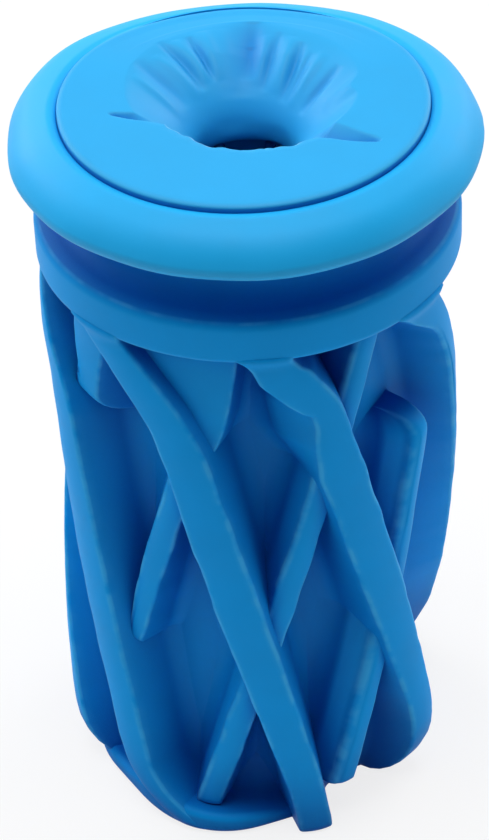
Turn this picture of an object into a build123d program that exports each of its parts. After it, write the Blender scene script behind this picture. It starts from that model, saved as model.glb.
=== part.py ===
"""Paw washer cup: a soft ribbed cup with a rolled rim, and a lift-out mouth insert lined with bristles.

Millimetres, +Z up, origin at the centre of the base. Azimuths are degrees round the axis, 0 at the
front (-Y) and growing towards +X. Seen from outside, the long ribs run down to the right and the
cross ribs run down to the left and pass under them.
"""
from build123d import *
import os
from math import cos, radians, sin

os.makedirs("parts", exist_ok=True)

# ---- Heights up the axis ----
cup_height = 153.6  # base to the top of the mouth disc
disc_thickness = 3.5  # flat outer ring of the mouth disc
disc_step = 0.7  # how far the disc stands above the rim round it
rim_height = 9.5  # top of the rim to its underside
neck_height = 11.6  # groove between the rim and the collar
collar_height = 9.4  # plain band that the ribs hang from
floor_thickness = 4.0  # closed floor of the cup

# ---- Radii ----
rim_radius = 45.0  # widest point, on the rolled edge of the rim
disc_radius = 35.6  # mouth disc
neck_radius = 33.5  # bottom of the groove
collar_radius = 41.0  # band, and its crest
core_radius = 28.0  # outside of the cup's wall, between the ribs
core_wall = 3.0  # thickness of that wall
long_rib_crest = 40.3  # outer face of the long ribs
cross_rib_crest = 37.0  # outer face of the cross ribs
throat_radius = 9.5  # puckered hole of the mouth, relaxed

# ---- Clearances ----
insert_clearance = 0.4  # liner to the bore, all round
disc_clearance = 0.3  # mouth disc to the recess in the rim

# ---- Rolled rim ----
rim_shoulder_radius = 40.0  # where the gentle slope of the rim starts to roll over
rim_shoulder_drop = 1.7  # how much the rim falls to there
rim_roll_width = 2.5  # radial size of the rounding under the rolled edge
rim_roll_height = 2.6  # its height
collar_edge = 1.2  # rounding of the collar's lower edge
base_rounding = 2.5  # rounding of the core at the base

# ---- Mouth funnel: a steep lip at the front, a long slope at the back ----
funnel_radius = 22.5  # where the flat disc starts to dip towards the throat
funnel_shift = 6.0  # how far back that circle's centre lies
bowl_radius = 15.8  # where the slope turns down into the steep bowl
bowl_shift = 1.0  # how far back that circle's centre lies
bowl_depth = 4.3  # disc top to that circle
funnel_wall = 2.4  # soft wall of the funnel
throat_depth = 14.0  # disc top to the narrowest point
throat_lip = 2.0  # short straight lip below it

# ---- Liner and bristles ----
liner_wall = 1.8
liner_gap = 6.0  # liner's open lower end to the floor
bristle_length = 8.5
bristle_root_radius = 1.1
bristle_tip_radius = 0.5
bristle_bands = 8  # one node each
rows_per_band = 2
bristles_per_row = 14
bristle_margin = 9.0  # bare wall above the top row and below the bottom row
bristle_root_depth = 0.5  # root moulded into the liner's wall

# ---- Long ribs, one value for each of the seven ----
long_rib_feet = [-37.0, 16.0, 62.0, 127.3, 180.0, 230.0, 290.0]  # azimuth the rib heads for at the base
long_rib_leads = [1100.0, 970.0, 880.0, 666.0, 880.0, 920.0, 550.0]  # height of one full turn
long_rib_root_sweeps = [36.0, 17.0, 8.0, 7.7, 14.0, 14.0, 5.0]  # extra turn where the root curls
long_rib_root_heights = [29.0, 26.0, 20.0, 25.0, 30.0, 30.0, 40.0]  # height of that curl
long_rib_foot_sweeps = [3.0, -2.0, -11.0, -2.0, 2.0, -3.0, 3.0]  # extra turn at the foot
long_rib_flares = [6.0, 5.0, 0.5, 1.4, 4.0, 1.0, 1.0]  # extra width where the root meets the collar
long_rib_rounded = [False, False, True, True, False, True, False]  # foot ends in a rounded lobe
long_rib_width = 9.6
long_rib_foot_width = 6.8
foot_sweep_height = 22.0  # height of the turn at the foot
lobe_rounding = 15.0  # radius of a rounded foot
plain_rounding = 2.5  # the same on a foot that is cut off square
rib_draft = 1.2  # how much wider each side of a rib is at the core than at its crest

# ---- Cross ribs, one value for each of the eight ----
cross_rib_feet = [-66.6, -23.0, 16.6, 78.0, 118.0, 158.0, 201.0, 247.0]
cross_rib_leads = [750.0, 740.0, 818.0, 780.0, 750.0, 750.0, 800.0, 760.0]
cross_rib_drops = [0.0, 0.0, 32.0, 0.0, 0.0, 12.0, 30.0, 0.0]  # collar to the rib's upper end
cross_rib_rises = [44.0, 7.0, 8.0, 62.0, 7.0, 40.0, 8.0, 98.0]  # base to the rib's lower end
cross_rib_webs = [15.0, 0.0, 0.0, 0.0, 8.0, 0.0, 0.0, 4.0]  # web on the left of the root
cross_rib_pointed = [True, False, False, True, False, True, False, True]  # lower end tapers away
cross_rib_width = 5.6
cross_rib_tip_width = 1.6
taper_height = 18.0  # length of a tapering end
web_height = 34.0  # height over which a web narrows away

# ---- Low curbs round the base, from the foot of one long rib to the foot of the next ----
curb_first_ribs = [6, 0]  # places in the lists above
curb_height = 5.5
curb_radius = 39.0

rib_station_step = 9.0  # spacing of the sections that a rib is drawn through
trim_margin = 4.0  # a rib's rough block reaches this far past the faces that trim it
smallest_piece = 60.0  # cubic millimetres; a thinner offcut beside a crossing is dropped

# ---- Worked out from the above ----
disc_seat_height = cup_height - disc_thickness
rim_top_height = cup_height - disc_step
rim_bottom_height = rim_top_height - rim_height
collar_top_height = rim_bottom_height - neck_height
collar_bottom_height = collar_top_height - collar_height
bore_radius = core_radius - core_wall
liner_outer_radius = bore_radius - insert_clearance
liner_inner_radius = liner_outer_radius - liner_wall
liner_bottom_height = floor_thickness + liner_gap
throat_height = cup_height - throat_depth
full_turn = 360.0


def polar_point(radius, across, azimuth):
    """Point at a radius, moved sideways along the tangent, in the plane of a section."""
    angle = radians(azimuth)
    return (radius * sin(angle) + across * cos(angle), -radius * cos(angle) + across * sin(angle))


def radial_plane(azimuth):
    """Upright plane through the axis, with its first direction pointing outwards at an azimuth."""
    angle = radians(azimuth)
    return Plane(origin=(0, 0, 0), x_dir=(sin(angle), -cos(angle), 0), z_dir=(-cos(angle), -sin(angle), 0))


def section_heights(low, high):
    """Heights of a rib's sections, evenly spaced from its lower end to its upper end."""
    spans = max(2, round((high - low) / rib_station_step))
    return [low + (high - low) * index / spans for index in range(spans + 1)]


def rib_block(sections, crest):
    """Rough twisted bar through (height, azimuth, left half width, right half width) sections."""
    inner = core_radius - trim_margin
    outer = crest + trim_margin
    with BuildPart() as block:
        for height, azimuth, left, right in sections:
            with BuildSketch(Plane.XY.offset(height)):
                with BuildLine():
                    Polyline(
                        polar_point(inner, -left - rib_draft, azimuth),
                        polar_point(outer, -left, azimuth),
                        polar_point(outer, right, azimuth),
                        polar_point(inner, right + rib_draft, azimuth),
                        close=True,
                    )
                make_face()
        loft(ruled=True)
    return block.part


def rib_envelope(crest, foot_rounding):
    """Ring between the core and a crest, from the base to the collar, that trims a rib."""
    rounding = min(foot_rounding, crest - core_radius - 1)
    with BuildPart() as envelope:
        with BuildSketch(Plane.XZ):
            with BuildLine():
                Line((core_radius, 0), (core_radius, collar_bottom_height))
                Line((core_radius, collar_bottom_height), (crest, collar_bottom_height))
                Line((crest, collar_bottom_height), (crest, rounding))
                RadiusArc((crest, rounding), (crest - rounding, 0), rounding)
                Line((crest - rounding, 0), (core_radius, 0))
            make_face()
        revolve(axis=Axis.Z)
    return envelope.part


def save(piece, name):
    """Label a finished piece and write it to its own file."""
    piece.part.label = name
    export_step(piece.part, f"parts/{name}.step")


# ---- Cup ----
with BuildPart() as cup_shell:
    with BuildSketch(Plane.XZ):
        with BuildLine():
            Polyline(
                (0, 0),
                (core_radius - base_rounding, 0),
                (core_radius, base_rounding),
                (core_radius, rim_bottom_height),
                (bore_radius, rim_bottom_height),
                (bore_radius, floor_thickness),
                (0, floor_thickness),
                close=True,
            )
        make_face()
    revolve(axis=Axis.Z)
save(cup_shell, "cup_shell")

with BuildPart() as collar:
    with BuildSketch(Plane.XZ):
        groove_top = (neck_radius, rim_bottom_height)
        groove_bottom = (neck_radius, collar_top_height + neck_height / 3)
        crest = (collar_radius, collar_top_height)
        with BuildLine():
            Line((core_radius, collar_bottom_height), (core_radius, rim_bottom_height))
            Line((core_radius, rim_bottom_height), groove_top)
            Line(groove_top, groove_bottom)
            TangentArc(groove_bottom, crest, tangent=(0, -1))
            Line(crest, (collar_radius, collar_bottom_height + collar_edge))
            RadiusArc(
                (collar_radius, collar_bottom_height + collar_edge),
                (collar_radius - collar_edge, collar_bottom_height),
                collar_edge,
            )
            Line((collar_radius - collar_edge, collar_bottom_height), (core_radius, collar_bottom_height))
        make_face()
    revolve(axis=Axis.Z)
save(collar, "collar")

with BuildPart() as rim_flange:
    recess_radius = disc_radius + disc_clearance
    roll_centre_height = rim_bottom_height + rim_roll_height
    shoulder = (rim_shoulder_radius, rim_top_height - rim_shoulder_drop)
    slope = (shoulder[0] - recess_radius, shoulder[1] - rim_top_height)
    with BuildSketch(Plane.XZ):
        with BuildLine():
            Line((bore_radius, rim_bottom_height), (bore_radius, disc_seat_height))
            Line((bore_radius, disc_seat_height), (recess_radius, disc_seat_height))
            Line((recess_radius, disc_seat_height), (recess_radius, rim_top_height))
            Line((recess_radius, rim_top_height), shoulder)
            TangentArc(shoulder, (rim_radius, roll_centre_height), tangent=slope)
            EllipticalCenterArc(
                (rim_radius - rim_roll_width, roll_centre_height),
                rim_roll_width,
                rim_roll_height,
                start_angle=-90,
                arc_size=90,
            )
            Line((rim_radius - rim_roll_width, rim_bottom_height), (bore_radius, rim_bottom_height))
        make_face()
    revolve(axis=Axis.Z)
save(rim_flange, "rim_flange")

# ---- Long ribs ----
square_envelope = rib_envelope(long_rib_crest, plain_rounding)
lobed_envelope = rib_envelope(long_rib_crest, lobe_rounding)
long_ribs = []
for number, foot in enumerate(long_rib_feet):
    sweep = long_rib_root_sweeps[number]
    root_height = long_rib_root_heights[number]
    sections = []
    for height in section_heights(0, collar_bottom_height):
        curl = max(0.0, 1 - (collar_bottom_height - height) / root_height) ** 2
        kick = max(0.0, 1 - height / foot_sweep_height) ** 2
        turn = long_rib_foot_sweeps[number] * kick - sweep * curl
        azimuth = foot - full_turn * height / long_rib_leads[number] + turn
        share = min(1.0, 2 * height / collar_bottom_height)
        width = long_rib_foot_width + (long_rib_width - long_rib_foot_width) * share
        half = (width + long_rib_flares[number] * curl) / 2
        sections.append((height, azimuth, half, half))
    block = rib_block(sections, long_rib_crest)
    with BuildPart() as long_rib:
        add(block)
        add(lobed_envelope if long_rib_rounded[number] else square_envelope, mode=Mode.INTERSECT)
    long_ribs.append(long_rib.part)
    save(long_rib, f"long_rib_{number + 1}")

# ---- Cross ribs, cut where a long rib passes over them ----
cross_envelope = rib_envelope(cross_rib_crest, plain_rounding)
for number, foot in enumerate(cross_rib_feet):
    low = cross_rib_rises[number]
    high = collar_bottom_height - cross_rib_drops[number]
    sections = []
    for height in section_heights(low, high):
        azimuth = foot + full_turn * height / cross_rib_leads[number]
        half = cross_rib_width / 2
        if cross_rib_pointed[number]:
            share = min(1.0, (height - low) / taper_height)
            half = (cross_rib_tip_width + (cross_rib_width - cross_rib_tip_width) * share) / 2
        web = cross_rib_webs[number] * max(0.0, 1 - (high - height) / web_height)
        sections.append((height, azimuth, half + web, half))
    block = rib_block(sections, cross_rib_crest)
    with BuildPart() as trimmed_rib:
        add(block)
        add(cross_envelope, mode=Mode.INTERSECT)
        add(long_ribs, mode=Mode.SUBTRACT)
    with BuildPart() as cross_rib:
        add([piece for piece in trimmed_rib.solids() if piece.volume > smallest_piece])
    save(cross_rib, f"cross_rib_{number + 1}")

# ---- Curbs round part of the base, between the feet ----
for number, first in enumerate(curb_first_ribs):
    second = (first + 1) % len(long_rib_feet)
    start = long_rib_feet[first] + long_rib_foot_sweeps[first]
    reach = (long_rib_feet[second] + long_rib_foot_sweeps[second] - start) % full_turn
    with BuildPart() as base_curb:
        with BuildSketch(radial_plane(start)):
            with BuildLine():
                Polyline(
                    (core_radius, 0),
                    (curb_radius - plain_rounding, 0),
                    (curb_radius, plain_rounding),
                    (core_radius, curb_height),
                    close=True,
                )
            make_face()
        revolve(axis=Axis.Z, revolution_arc=reach)
        add(long_ribs, mode=Mode.SUBTRACT)
    save(base_curb, f"base_curb_{number + 1}")

# ---- Mouth insert ----
with BuildPart() as mouth_disc:
    top_edge = min(1.0, disc_thickness / 3)
    with BuildSketch(Plane.XY.offset(disc_seat_height)):
        Circle(disc_radius)
    extrude(amount=disc_thickness)
    chamfer(mouth_disc.edges().sort_by(Axis.Z)[-1], top_edge)
    with BuildSketch(Plane.XY.offset(disc_seat_height)):
        Circle(liner_inner_radius)
    with BuildSketch(Plane.XY.offset(disc_seat_height - bowl_depth)):
        with Locations((0, bowl_shift)):
            Circle(bowl_radius + funnel_wall / 2)
    with BuildSketch(Plane.XY.offset(throat_height)):
        Circle(throat_radius + funnel_wall)
    loft(ruled=True)
    with BuildSketch(Plane.XY.offset(throat_height - throat_lip)):
        Circle(throat_radius + funnel_wall)
    extrude(amount=throat_lip)
    with BuildSketch(Plane.XY.offset(cup_height)):
        with Locations((0, funnel_shift)):
            Circle(funnel_radius)
    with BuildSketch(Plane.XY.offset(cup_height - bowl_depth)):
        with Locations((0, bowl_shift)):
            Circle(bowl_radius)
    with BuildSketch(Plane.XY.offset(throat_height)):
        Circle(throat_radius)
    loft(ruled=True, mode=Mode.SUBTRACT)
    with Locations((0, 0, throat_height)):
        Hole(throat_radius, depth=throat_lip + 1)
save(mouth_disc, "mouth_disc")

with BuildPart() as liner:
    with BuildSketch(Plane.XY.offset(liner_bottom_height)):
        Circle(liner_outer_radius)
        Circle(liner_inner_radius, mode=Mode.SUBTRACT)
    extrude(amount=disc_seat_height - liner_bottom_height)
save(liner, "liner")

row_count = bristle_bands * rows_per_band
lowest_row = liner_bottom_height + bristle_margin
highest_row = throat_height - throat_lip - bristle_margin
row_spacing = (highest_row - lowest_row) / (row_count - 1)
for band in range(bristle_bands):
    places = []
    for row in range(band * rows_per_band, (band + 1) * rows_per_band):
        for index in range(bristles_per_row):
            azimuth = full_turn * (index + 0.5 * (row % 2)) / bristles_per_row
            across, along = polar_point(liner_inner_radius + bristle_root_depth, 0, azimuth)
            height = lowest_row + row * row_spacing
            places.append(Plane(origin=(across, along, height), z_dir=(-across, -along, 0)))
    with BuildPart() as bristle_band:
        with Locations(*places):
            Cone(
                bristle_root_radius,
                bristle_tip_radius,
                bristle_length + bristle_root_depth,
                align=(Align.CENTER, Align.CENTER, Align.MIN),
            )
        add(liner.part, mode=Mode.SUBTRACT)
    save(bristle_band, f"bristle_band_{band + 1}")
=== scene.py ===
import logging
import math
from dataclasses import dataclass
from enum import Enum
from typing import Callable, Iterable, Sequence

import bpy
import numpy as np
from mathutils import Matrix, Vector, noise


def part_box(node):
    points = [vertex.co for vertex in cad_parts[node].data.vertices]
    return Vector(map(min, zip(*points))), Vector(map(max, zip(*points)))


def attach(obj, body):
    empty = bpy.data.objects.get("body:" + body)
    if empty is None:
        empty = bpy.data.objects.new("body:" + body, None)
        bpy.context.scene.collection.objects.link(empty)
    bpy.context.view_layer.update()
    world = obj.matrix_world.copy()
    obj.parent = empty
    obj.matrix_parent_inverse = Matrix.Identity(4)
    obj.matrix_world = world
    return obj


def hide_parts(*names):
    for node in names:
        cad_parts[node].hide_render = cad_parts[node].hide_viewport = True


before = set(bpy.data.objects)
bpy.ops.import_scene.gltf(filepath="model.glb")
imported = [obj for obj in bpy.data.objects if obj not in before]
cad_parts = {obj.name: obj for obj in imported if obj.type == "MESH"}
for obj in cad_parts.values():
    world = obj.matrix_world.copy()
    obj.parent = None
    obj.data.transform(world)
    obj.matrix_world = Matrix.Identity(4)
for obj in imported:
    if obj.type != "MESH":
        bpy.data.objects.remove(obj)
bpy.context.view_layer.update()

LOG = logging.getLogger("paw_washer_cup")
MM = 0.001
TURN = 2 * math.pi
BAND_HEIGHT = 9.4 * MM  # the collar's plain band, under the neck groove
Point = tuple[float, float]


# ---------------------------------------------------------------------------------------------
# Sizes read from the frame
# ---------------------------------------------------------------------------------------------
@dataclass(frozen=True)
class CupSizes:
    """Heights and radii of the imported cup, in metres, that the dressed pieces line up with."""

    core: float
    top: float
    collar_low: float
    collar_high: float
    collar: float
    rim_low: float
    rim_high: float
    rim: float
    disc_seat: float
    disc: float
    liner: float
    liner_low: float
    curb: float
    curb_height: float

    @classmethod
    def from_frame(cls) -> "CupSizes":
        """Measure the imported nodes.

        Returns:
            The sizes that every sub-assembly works from.
        """
        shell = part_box("cup_shell")
        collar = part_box("collar")
        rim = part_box("rim_flange")
        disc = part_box("mouth_disc")
        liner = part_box("liner")
        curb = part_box("base_curb_2")
        return cls(
            core=shell[1].x,
            top=disc[1].z,
            collar_low=collar[0].z,
            collar_high=collar[0].z + BAND_HEIGHT,
            collar=collar[1].x,
            rim_low=rim[0].z,
            rim_high=rim[1].z,
            rim=rim[1].x,
            disc_seat=liner[1].z,
            disc=disc[1].x,
            liner=liner[1].x,
            liner_low=liner[0].z,
            curb=-curb[0].y,
            curb_height=curb[1].z,
        )


# ---------------------------------------------------------------------------------------------
# Node trees
# ---------------------------------------------------------------------------------------------
class NodeGraph:
    """A node tree, with short ways to add its sockets, nodes and links."""

    def __init__(self, tree: bpy.types.NodeTree) -> None:
        """Work on a tree."""
        self.tree = tree

    @classmethod
    def group(
        cls, name: str, kind: str, inputs: dict[str, str | float], outputs: dict[str, str]
    ) -> "NodeGraph":
        """Start a node group with named sockets.

        Args:
            name: What the group is called.
            kind: Shader or Geometry.
            inputs: The kind of each input, or the default of a float one.
            outputs: The kind of each output.

        Returns:
            The group, with nothing wired yet.
        """
        graph = cls(bpy.data.node_groups.new(name, f"{kind}NodeTree"))
        for side, sockets in (("INPUT", inputs), ("OUTPUT", outputs)):
            for label, given in sockets.items():
                named = isinstance(given, str)
                made = graph.tree.interface.new_socket(
                    name=label, in_out=side, socket_type=f"NodeSocket{given if named else 'Float'}"
                )
                if not named:
                    made.default_value = given
        return graph

    def fill(self, socket: bpy.types.NodeSocket, value: object) -> None:
        """Link an input, or set its plain value.

        Args:
            socket: The input.
            value: A socket or a NodeValue to link, or a plain value.
        """
        if isinstance(value, NodeValue):
            value = value.socket
        if isinstance(value, bpy.types.NodeSocket):
            self.tree.links.new(value, socket)
        else:
            socket.default_value = value

    def node(
        self, kind: str, inputs: dict[str | int, object] | None = None, **settings: object
    ) -> bpy.types.Node:
        """Add a node, set its properties and fill its inputs.

        Args:
            kind: The node's type.
            inputs: Plain values, or what to link, by the input's name or index.
            settings: Properties to set on the node.

        Returns:
            The new node.
        """
        made = self.tree.nodes.new(kind)
        for key, value in settings.items():
            setattr(made, key, value)
        for key, value in (inputs or {}).items():
            self.fill(made.inputs[key], value)
        return made

    def value(
        self, kind: str, output: str | int, inputs: dict[str | int, object] | None = None, **settings: object
    ) -> "NodeValue":
        """Add a node and take one of its outputs.

        Args:
            kind: The node's type.
            output: Name or index of the output.
            inputs: Plain values, or what to link, by the input's name or index.
            settings: Properties to set on the node.

        Returns:
            The output, ready for a formula.
        """
        return NodeValue(self, self.node(kind, inputs, **settings).outputs[output])


class NodeValue:
    """A value in a node tree, so that a formula reads as sums and products."""

    def __init__(self, graph: NodeGraph, socket: bpy.types.NodeSocket) -> None:
        """Wrap an output socket of a graph."""
        self.graph = graph
        self.socket = socket

    def math(self, operation: str, *others: "NodeValue | float") -> "NodeValue":
        """Join this value to others in one Math node.

        Args:
            operation: The Math node's operation.
            others: Values or plain numbers for its other inputs.

        Returns:
            The result.
        """
        inputs = dict(enumerate((self, *others)))
        return self.graph.value("ShaderNodeMath", 0, inputs, operation=operation)

    def __add__(self, other: "NodeValue | float") -> "NodeValue":
        """Sum."""
        return self.math("ADD", other)

    def __sub__(self, other: "NodeValue | float") -> "NodeValue":
        """Difference."""
        return self.math("SUBTRACT", other)

    def __mul__(self, other: "NodeValue | float") -> "NodeValue":
        """Product."""
        return self.math("MULTIPLY", other)

    def __truediv__(self, other: "NodeValue | float") -> "NodeValue":
        """Quotient, 0 where the divisor is 0."""
        return self.math("DIVIDE", other)

    def clamped(self) -> "NodeValue":
        """The value held between 0 and 1."""
        return self.math("MINIMUM", 1.0).math("MAXIMUM", 0.0)

    def fading(self) -> "NodeValue":
        """One minus the clamped value: 1 at 0 and below, 0 at 1 and above."""
        return (self * -1.0 + 1.0).clamped()

    def rounded(self) -> "NodeValue":
        """Quarter circle: 0 at 0, upright there, and level where the value reaches 1."""
        rest = self.fading()
        return (rest * rest * -1.0 + 1.0).math("MAXIMUM", 0.0).math("SQRT")


# ---------------------------------------------------------------------------------------------
# Finishes
# ---------------------------------------------------------------------------------------------
def build_grain_group() -> bpy.types.NodeTree:
    """Fine grain and soft mottling of moulded silicone.

    Returns:
        A group with Tone (colour factor), Gloss (roughness) and Height outputs.
    """
    floats = {"Tone": "Float", "Gloss": "Float", "Height": "Float"}
    group = NodeGraph.group(
        "moulded_grain", "Shader", {"Place": "Vector", "Roughness": 0.5, "Mottle": 0.06}, floats
    )
    given = group.node("NodeGroupInput").outputs
    cloud, grain = (
        group.value("ShaderNodeTexNoise", "Fac", {"Vector": given["Place"], "Scale": scale, "Detail": detail})
        for scale, detail in ((95.0, 3.0), (1500.0, 2.0))
    )
    gloss_swing = 0.16
    cloud_height = 0.35
    centred = cloud - 0.5
    results = {
        "Tone": centred * NodeValue(group, given["Mottle"]) + 1.0,
        "Gloss": centred.math("MULTIPLY_ADD", gloss_swing, NodeValue(group, given["Roughness"])),
        "Height": cloud.math("MULTIPLY_ADD", cloud_height, grain),
    }
    group.node("NodeGroupOutput", results)
    return group.tree


def build_edge_highlight_group() -> bpy.types.NodeTree:
    """Painted highlight: a pale line along rounded edges.

    Returns:
        A group that mixes a painted highlight colour over a base colour by a mask broken up along the edge.
    """
    inputs = {"Base": "Color", "Line": "Color", "Edge": 0.0, "Place": "Vector", "Strength": 0.5}
    group = NodeGraph.group("painted_edge_highlight", "Shader", inputs, {"Color": "Color"})
    given = group.node("NodeGroupInput").outputs
    specks = {"Vector": given["Place"], "Scale": 210.0, "Detail": 2.0}
    breaks = {"Value": group.value("ShaderNodeTexNoise", "Fac", specks), "From Min": 0.36, "From Max": 0.62}
    mask = group.value("ShaderNodeMapRange", "Result", breaks)
    painted_light_share = (mask * NodeValue(group, given["Edge"]) * NodeValue(group, given["Strength"])).clamped()
    mix = group.node("ShaderNodeMix", {"Factor": painted_light_share}, data_type="RGBA")
    group.fill(mix.inputs[6], given["Base"])
    group.fill(mix.inputs[7], given["Line"])
    group.node("NodeGroupOutput", {"Color": mix.outputs[2]})
    return group.tree


GRAIN_GROUP = build_grain_group()
EDGE_HIGHLIGHT_GROUP = build_edge_highlight_group()
EDGE_HIGHLIGHT_ATTRIBUTE = "edge_highlight"  # how much painted highlight a point on an edge gets
FOLD_SHADE_ATTRIBUTE = "fold"  # how much painted shade a point in a fold of the mouth gets


@dataclass(frozen=True)
class SiliconeFinish:
    """Soft satin silicone, coloured right through, with painted shade in recesses and a painted highlight
    along edges where these are set.
    """

    name: str
    colour: tuple[float, float, float]
    highlight_colour: tuple[float, float, float]
    roughness: float = 0.5
    mottle: float = 0.10
    highlight_strength: float = 0.3
    grain_depth: float = 0.05
    grain_height: float = 0.2 * MM
    refraction: float = 1.41
    # painted shade: colour, strength and reach of the darkening that ambient occlusion paints into recesses
    painted_shade_colour: tuple[float, float, float] = (0.001, 0.11, 0.46)
    painted_shade_strength: float = 0.0
    painted_shade_reach: float = 26.0 * MM
    specular: float = 0.3

    def material(self) -> bpy.types.Material:
        """Build the material once, and give it again afterwards.

        Returns:
            The material.
        """
        known = bpy.data.materials.get(self.name)
        if known:
            return known
        made = bpy.data.materials.new(self.name)
        made.use_nodes = True
        made.diffuse_color = (*self.colour, 1.0)
        graph = NodeGraph(made.node_tree)
        place = graph.node("ShaderNodeTexCoord").outputs["Object"]
        grain = graph.node(
            "ShaderNodeGroup",
            {"Place": place, "Roughness": self.roughness, "Mottle": self.mottle},
            node_tree=GRAIN_GROUP,
        ).outputs
        highlight_inputs = {
            # the base colour carries the painted pocket shade wherever its strength is set
            "Base": self._painted_pocket_shade(graph) if self.painted_shade_strength > 0 else (*self.colour, 1.0),
            "Line": (*self.highlight_colour, 1.0),
            "Strength": self.highlight_strength,
            "Edge": graph.value("ShaderNodeAttribute", "Fac", attribute_name=EDGE_HIGHLIGHT_ATTRIBUTE),
            "Place": place,
        }
        edge_highlight = graph.value("ShaderNodeGroup", "Color", highlight_inputs, node_tree=EDGE_HIGHLIGHT_GROUP)
        tinted = graph.value("ShaderNodeVectorMath", 0, {0: edge_highlight, "Scale": grain["Tone"]}, operation="SCALE")
        bump_inputs = {"Strength": self.grain_depth, "Distance": self.grain_height, "Height": grain["Height"]}
        shader_inputs = {
            "IOR": self.refraction,
            "Specular IOR Level": self.specular,
            "Base Color": tinted,
            "Roughness": grain["Gloss"],
            "Normal": graph.value("ShaderNodeBump", "Normal", bump_inputs),
        }
        for name, value in shader_inputs.items():
            graph.fill(graph.tree.nodes["Principled BSDF"].inputs[name], value)
        return made

    def _painted_pocket_shade(self, graph: NodeGraph) -> NodeValue:
        """Painted shade: colour that darkens where ambient occlusion finds recesses, between the ribs and in
        the mouth's folds.

        Args:
            graph: The material's nodes.

        Returns:
            The colour.
        """
        # ambient occlusion and the mouth's fold mask paint shade into the base colour
        hollow = graph.value("ShaderNodeAmbientOcclusion", "AO", {"Distance": self.painted_shade_reach}, samples=8)
        reach = {"Value": hollow, "From Min": 0.92, "From Max": 0.38, "To Max": self.painted_shade_strength}
        fold = graph.value("ShaderNodeAttribute", "Fac", attribute_name=FOLD_SHADE_ATTRIBUTE)
        painted_light_share = graph.value("ShaderNodeMapRange", "Result", reach).math("MAXIMUM", fold)
        colours = {6: (*self.colour, 1.0), 7: (*self.painted_shade_colour, 1.0)}
        return graph.value("ShaderNodeMix", 2, {"Factor": painted_light_share, **colours}, data_type="RGBA")


# cup: painted shade between the ribs, and a faint painted highlight along rib and collar edges
CUP_FINISH = SiliconeFinish(
    "satin_cup", (0.002, 0.35, 0.88), (0.12, 0.62, 0.95), painted_shade_strength=1.0, specular=0.1
)
# rim: painted shade in the groove round the disc, and a painted highlight along its lower edge
RIM_FINISH = SiliconeFinish(
    "satin_rim", (0.01, 0.42, 0.87), (0.12, 0.68, 0.95), highlight_strength=0.6,
    painted_shade_colour=(0.002, 0.16, 0.56), painted_shade_strength=0.4, painted_shade_reach=4.0 * MM,
)
# mouth: painted shade in the funnel and its folds, and a strong painted highlight along the front lip
MOUTH_FINISH = SiliconeFinish(
    "satin_mouth", (0.02, 0.37, 0.76), (0.45, 0.82, 1.0), highlight_strength=1.0,
    painted_shade_colour=(0.002, 0.15, 0.54), painted_shade_strength=0.9, painted_shade_reach=9.0 * MM,
)
LINER_FINISH = SiliconeFinish("satin_liner", (0.003, 0.37, 0.79), (0.10, 0.60, 0.92), roughness=0.42)
BRISTLE_FINISH = SiliconeFinish("satin_bristle", (0.01, 0.42, 0.83), (0.10, 0.60, 0.92), roughness=0.42)


class Slot(Enum):
    """The record's material slots."""

    CUP = "cup_silicone"
    MOUTH = "mouth_silicone"
    LINER = "liner_silicone"
    BRISTLE = "bristle_silicone"


class Body(Enum):
    """The two rigid bodies of the cup."""

    CUP = "cup"
    INSERT = "insert"


def dress(piece: bpy.types.Object, body: Body, nodes: Sequence[str]) -> None:
    """Tie a finished piece to the frame and report it.

    Args:
        piece: The finished object, at the origin.
        body: The body that it moves with.
        nodes: The CAD nodes that it stands for.
    """
    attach(piece, body.value)
    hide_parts(*nodes)
    LOG.info("%s: %d faces, rides on %s", piece.name, len(piece.data.polygons), body.value)


# ---------------------------------------------------------------------------------------------
# Meshes
# ---------------------------------------------------------------------------------------------
def put(name: str, data: bpy.types.ID) -> bpy.types.Object:
    """Make an object and put it in the scene, at the origin.

    Args:
        name: What it is called.
        data: Its mesh, lamp or camera.

    Returns:
        The object.
    """
    holder = bpy.data.objects.new(name, data)
    bpy.context.scene.collection.objects.link(holder)
    return holder


def mark_points(mesh: bpy.types.Mesh, name: str, values: Sequence[float] | np.ndarray) -> None:
    """Give each point of a mesh its number of a named attribute."""
    layer = mesh.attributes.new(name, "FLOAT", "POINT")
    layer.data.foreach_set("value", np.asarray(values, np.float32).reshape(-1))


def link_mesh(name: str, mesh: bpy.types.Mesh, material: bpy.types.Material | None) -> bpy.types.Object:
    """Make an object of a mesh, smooth all over.

    Args:
        name: The piece's name.
        mesh: Its mesh.
        material: Its finish, or None where the mesh already has one.

    Returns:
        The object, at the origin.
    """
    mesh.name = name
    if material:
        mesh.materials.clear()
        mesh.materials.append(material)
    mesh.polygons.foreach_set("use_smooth", np.ones(len(mesh.polygons), bool))
    mesh.update()
    return put(name, mesh)


def ring_grid_mesh(name: str, points: np.ndarray, edge_highlight: np.ndarray | None = None) -> bpy.types.Mesh:
    """Closed mesh from rings of points that wrap both ways, like the skin of a ring.

    Args:
        name: Name of the mesh.
        points: Array of (rings, points per ring, 3), in metres; the first ring follows the last.
        edge_highlight: Mask of the painted edge highlight, one value for each point.

    Returns:
        The closed mesh. Its faces all point the same way, in or out.
    """
    rings, count, _ = points.shape
    index = np.arange(rings * count).reshape(rings, count)
    following = np.roll(index, -1, 0)
    corners = [index, np.roll(index, -1, 1), np.roll(following, -1, 1), following]
    faces = np.stack(corners, -1).reshape(-1, 4)
    mesh = bpy.data.meshes.new(name)
    mesh.from_pydata(points.reshape(-1, 3).tolist(), [], faces.tolist())
    if edge_highlight is not None:
        mark_points(mesh, EDGE_HIGHLIGHT_ATTRIBUTE, edge_highlight)
    return mesh


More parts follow.
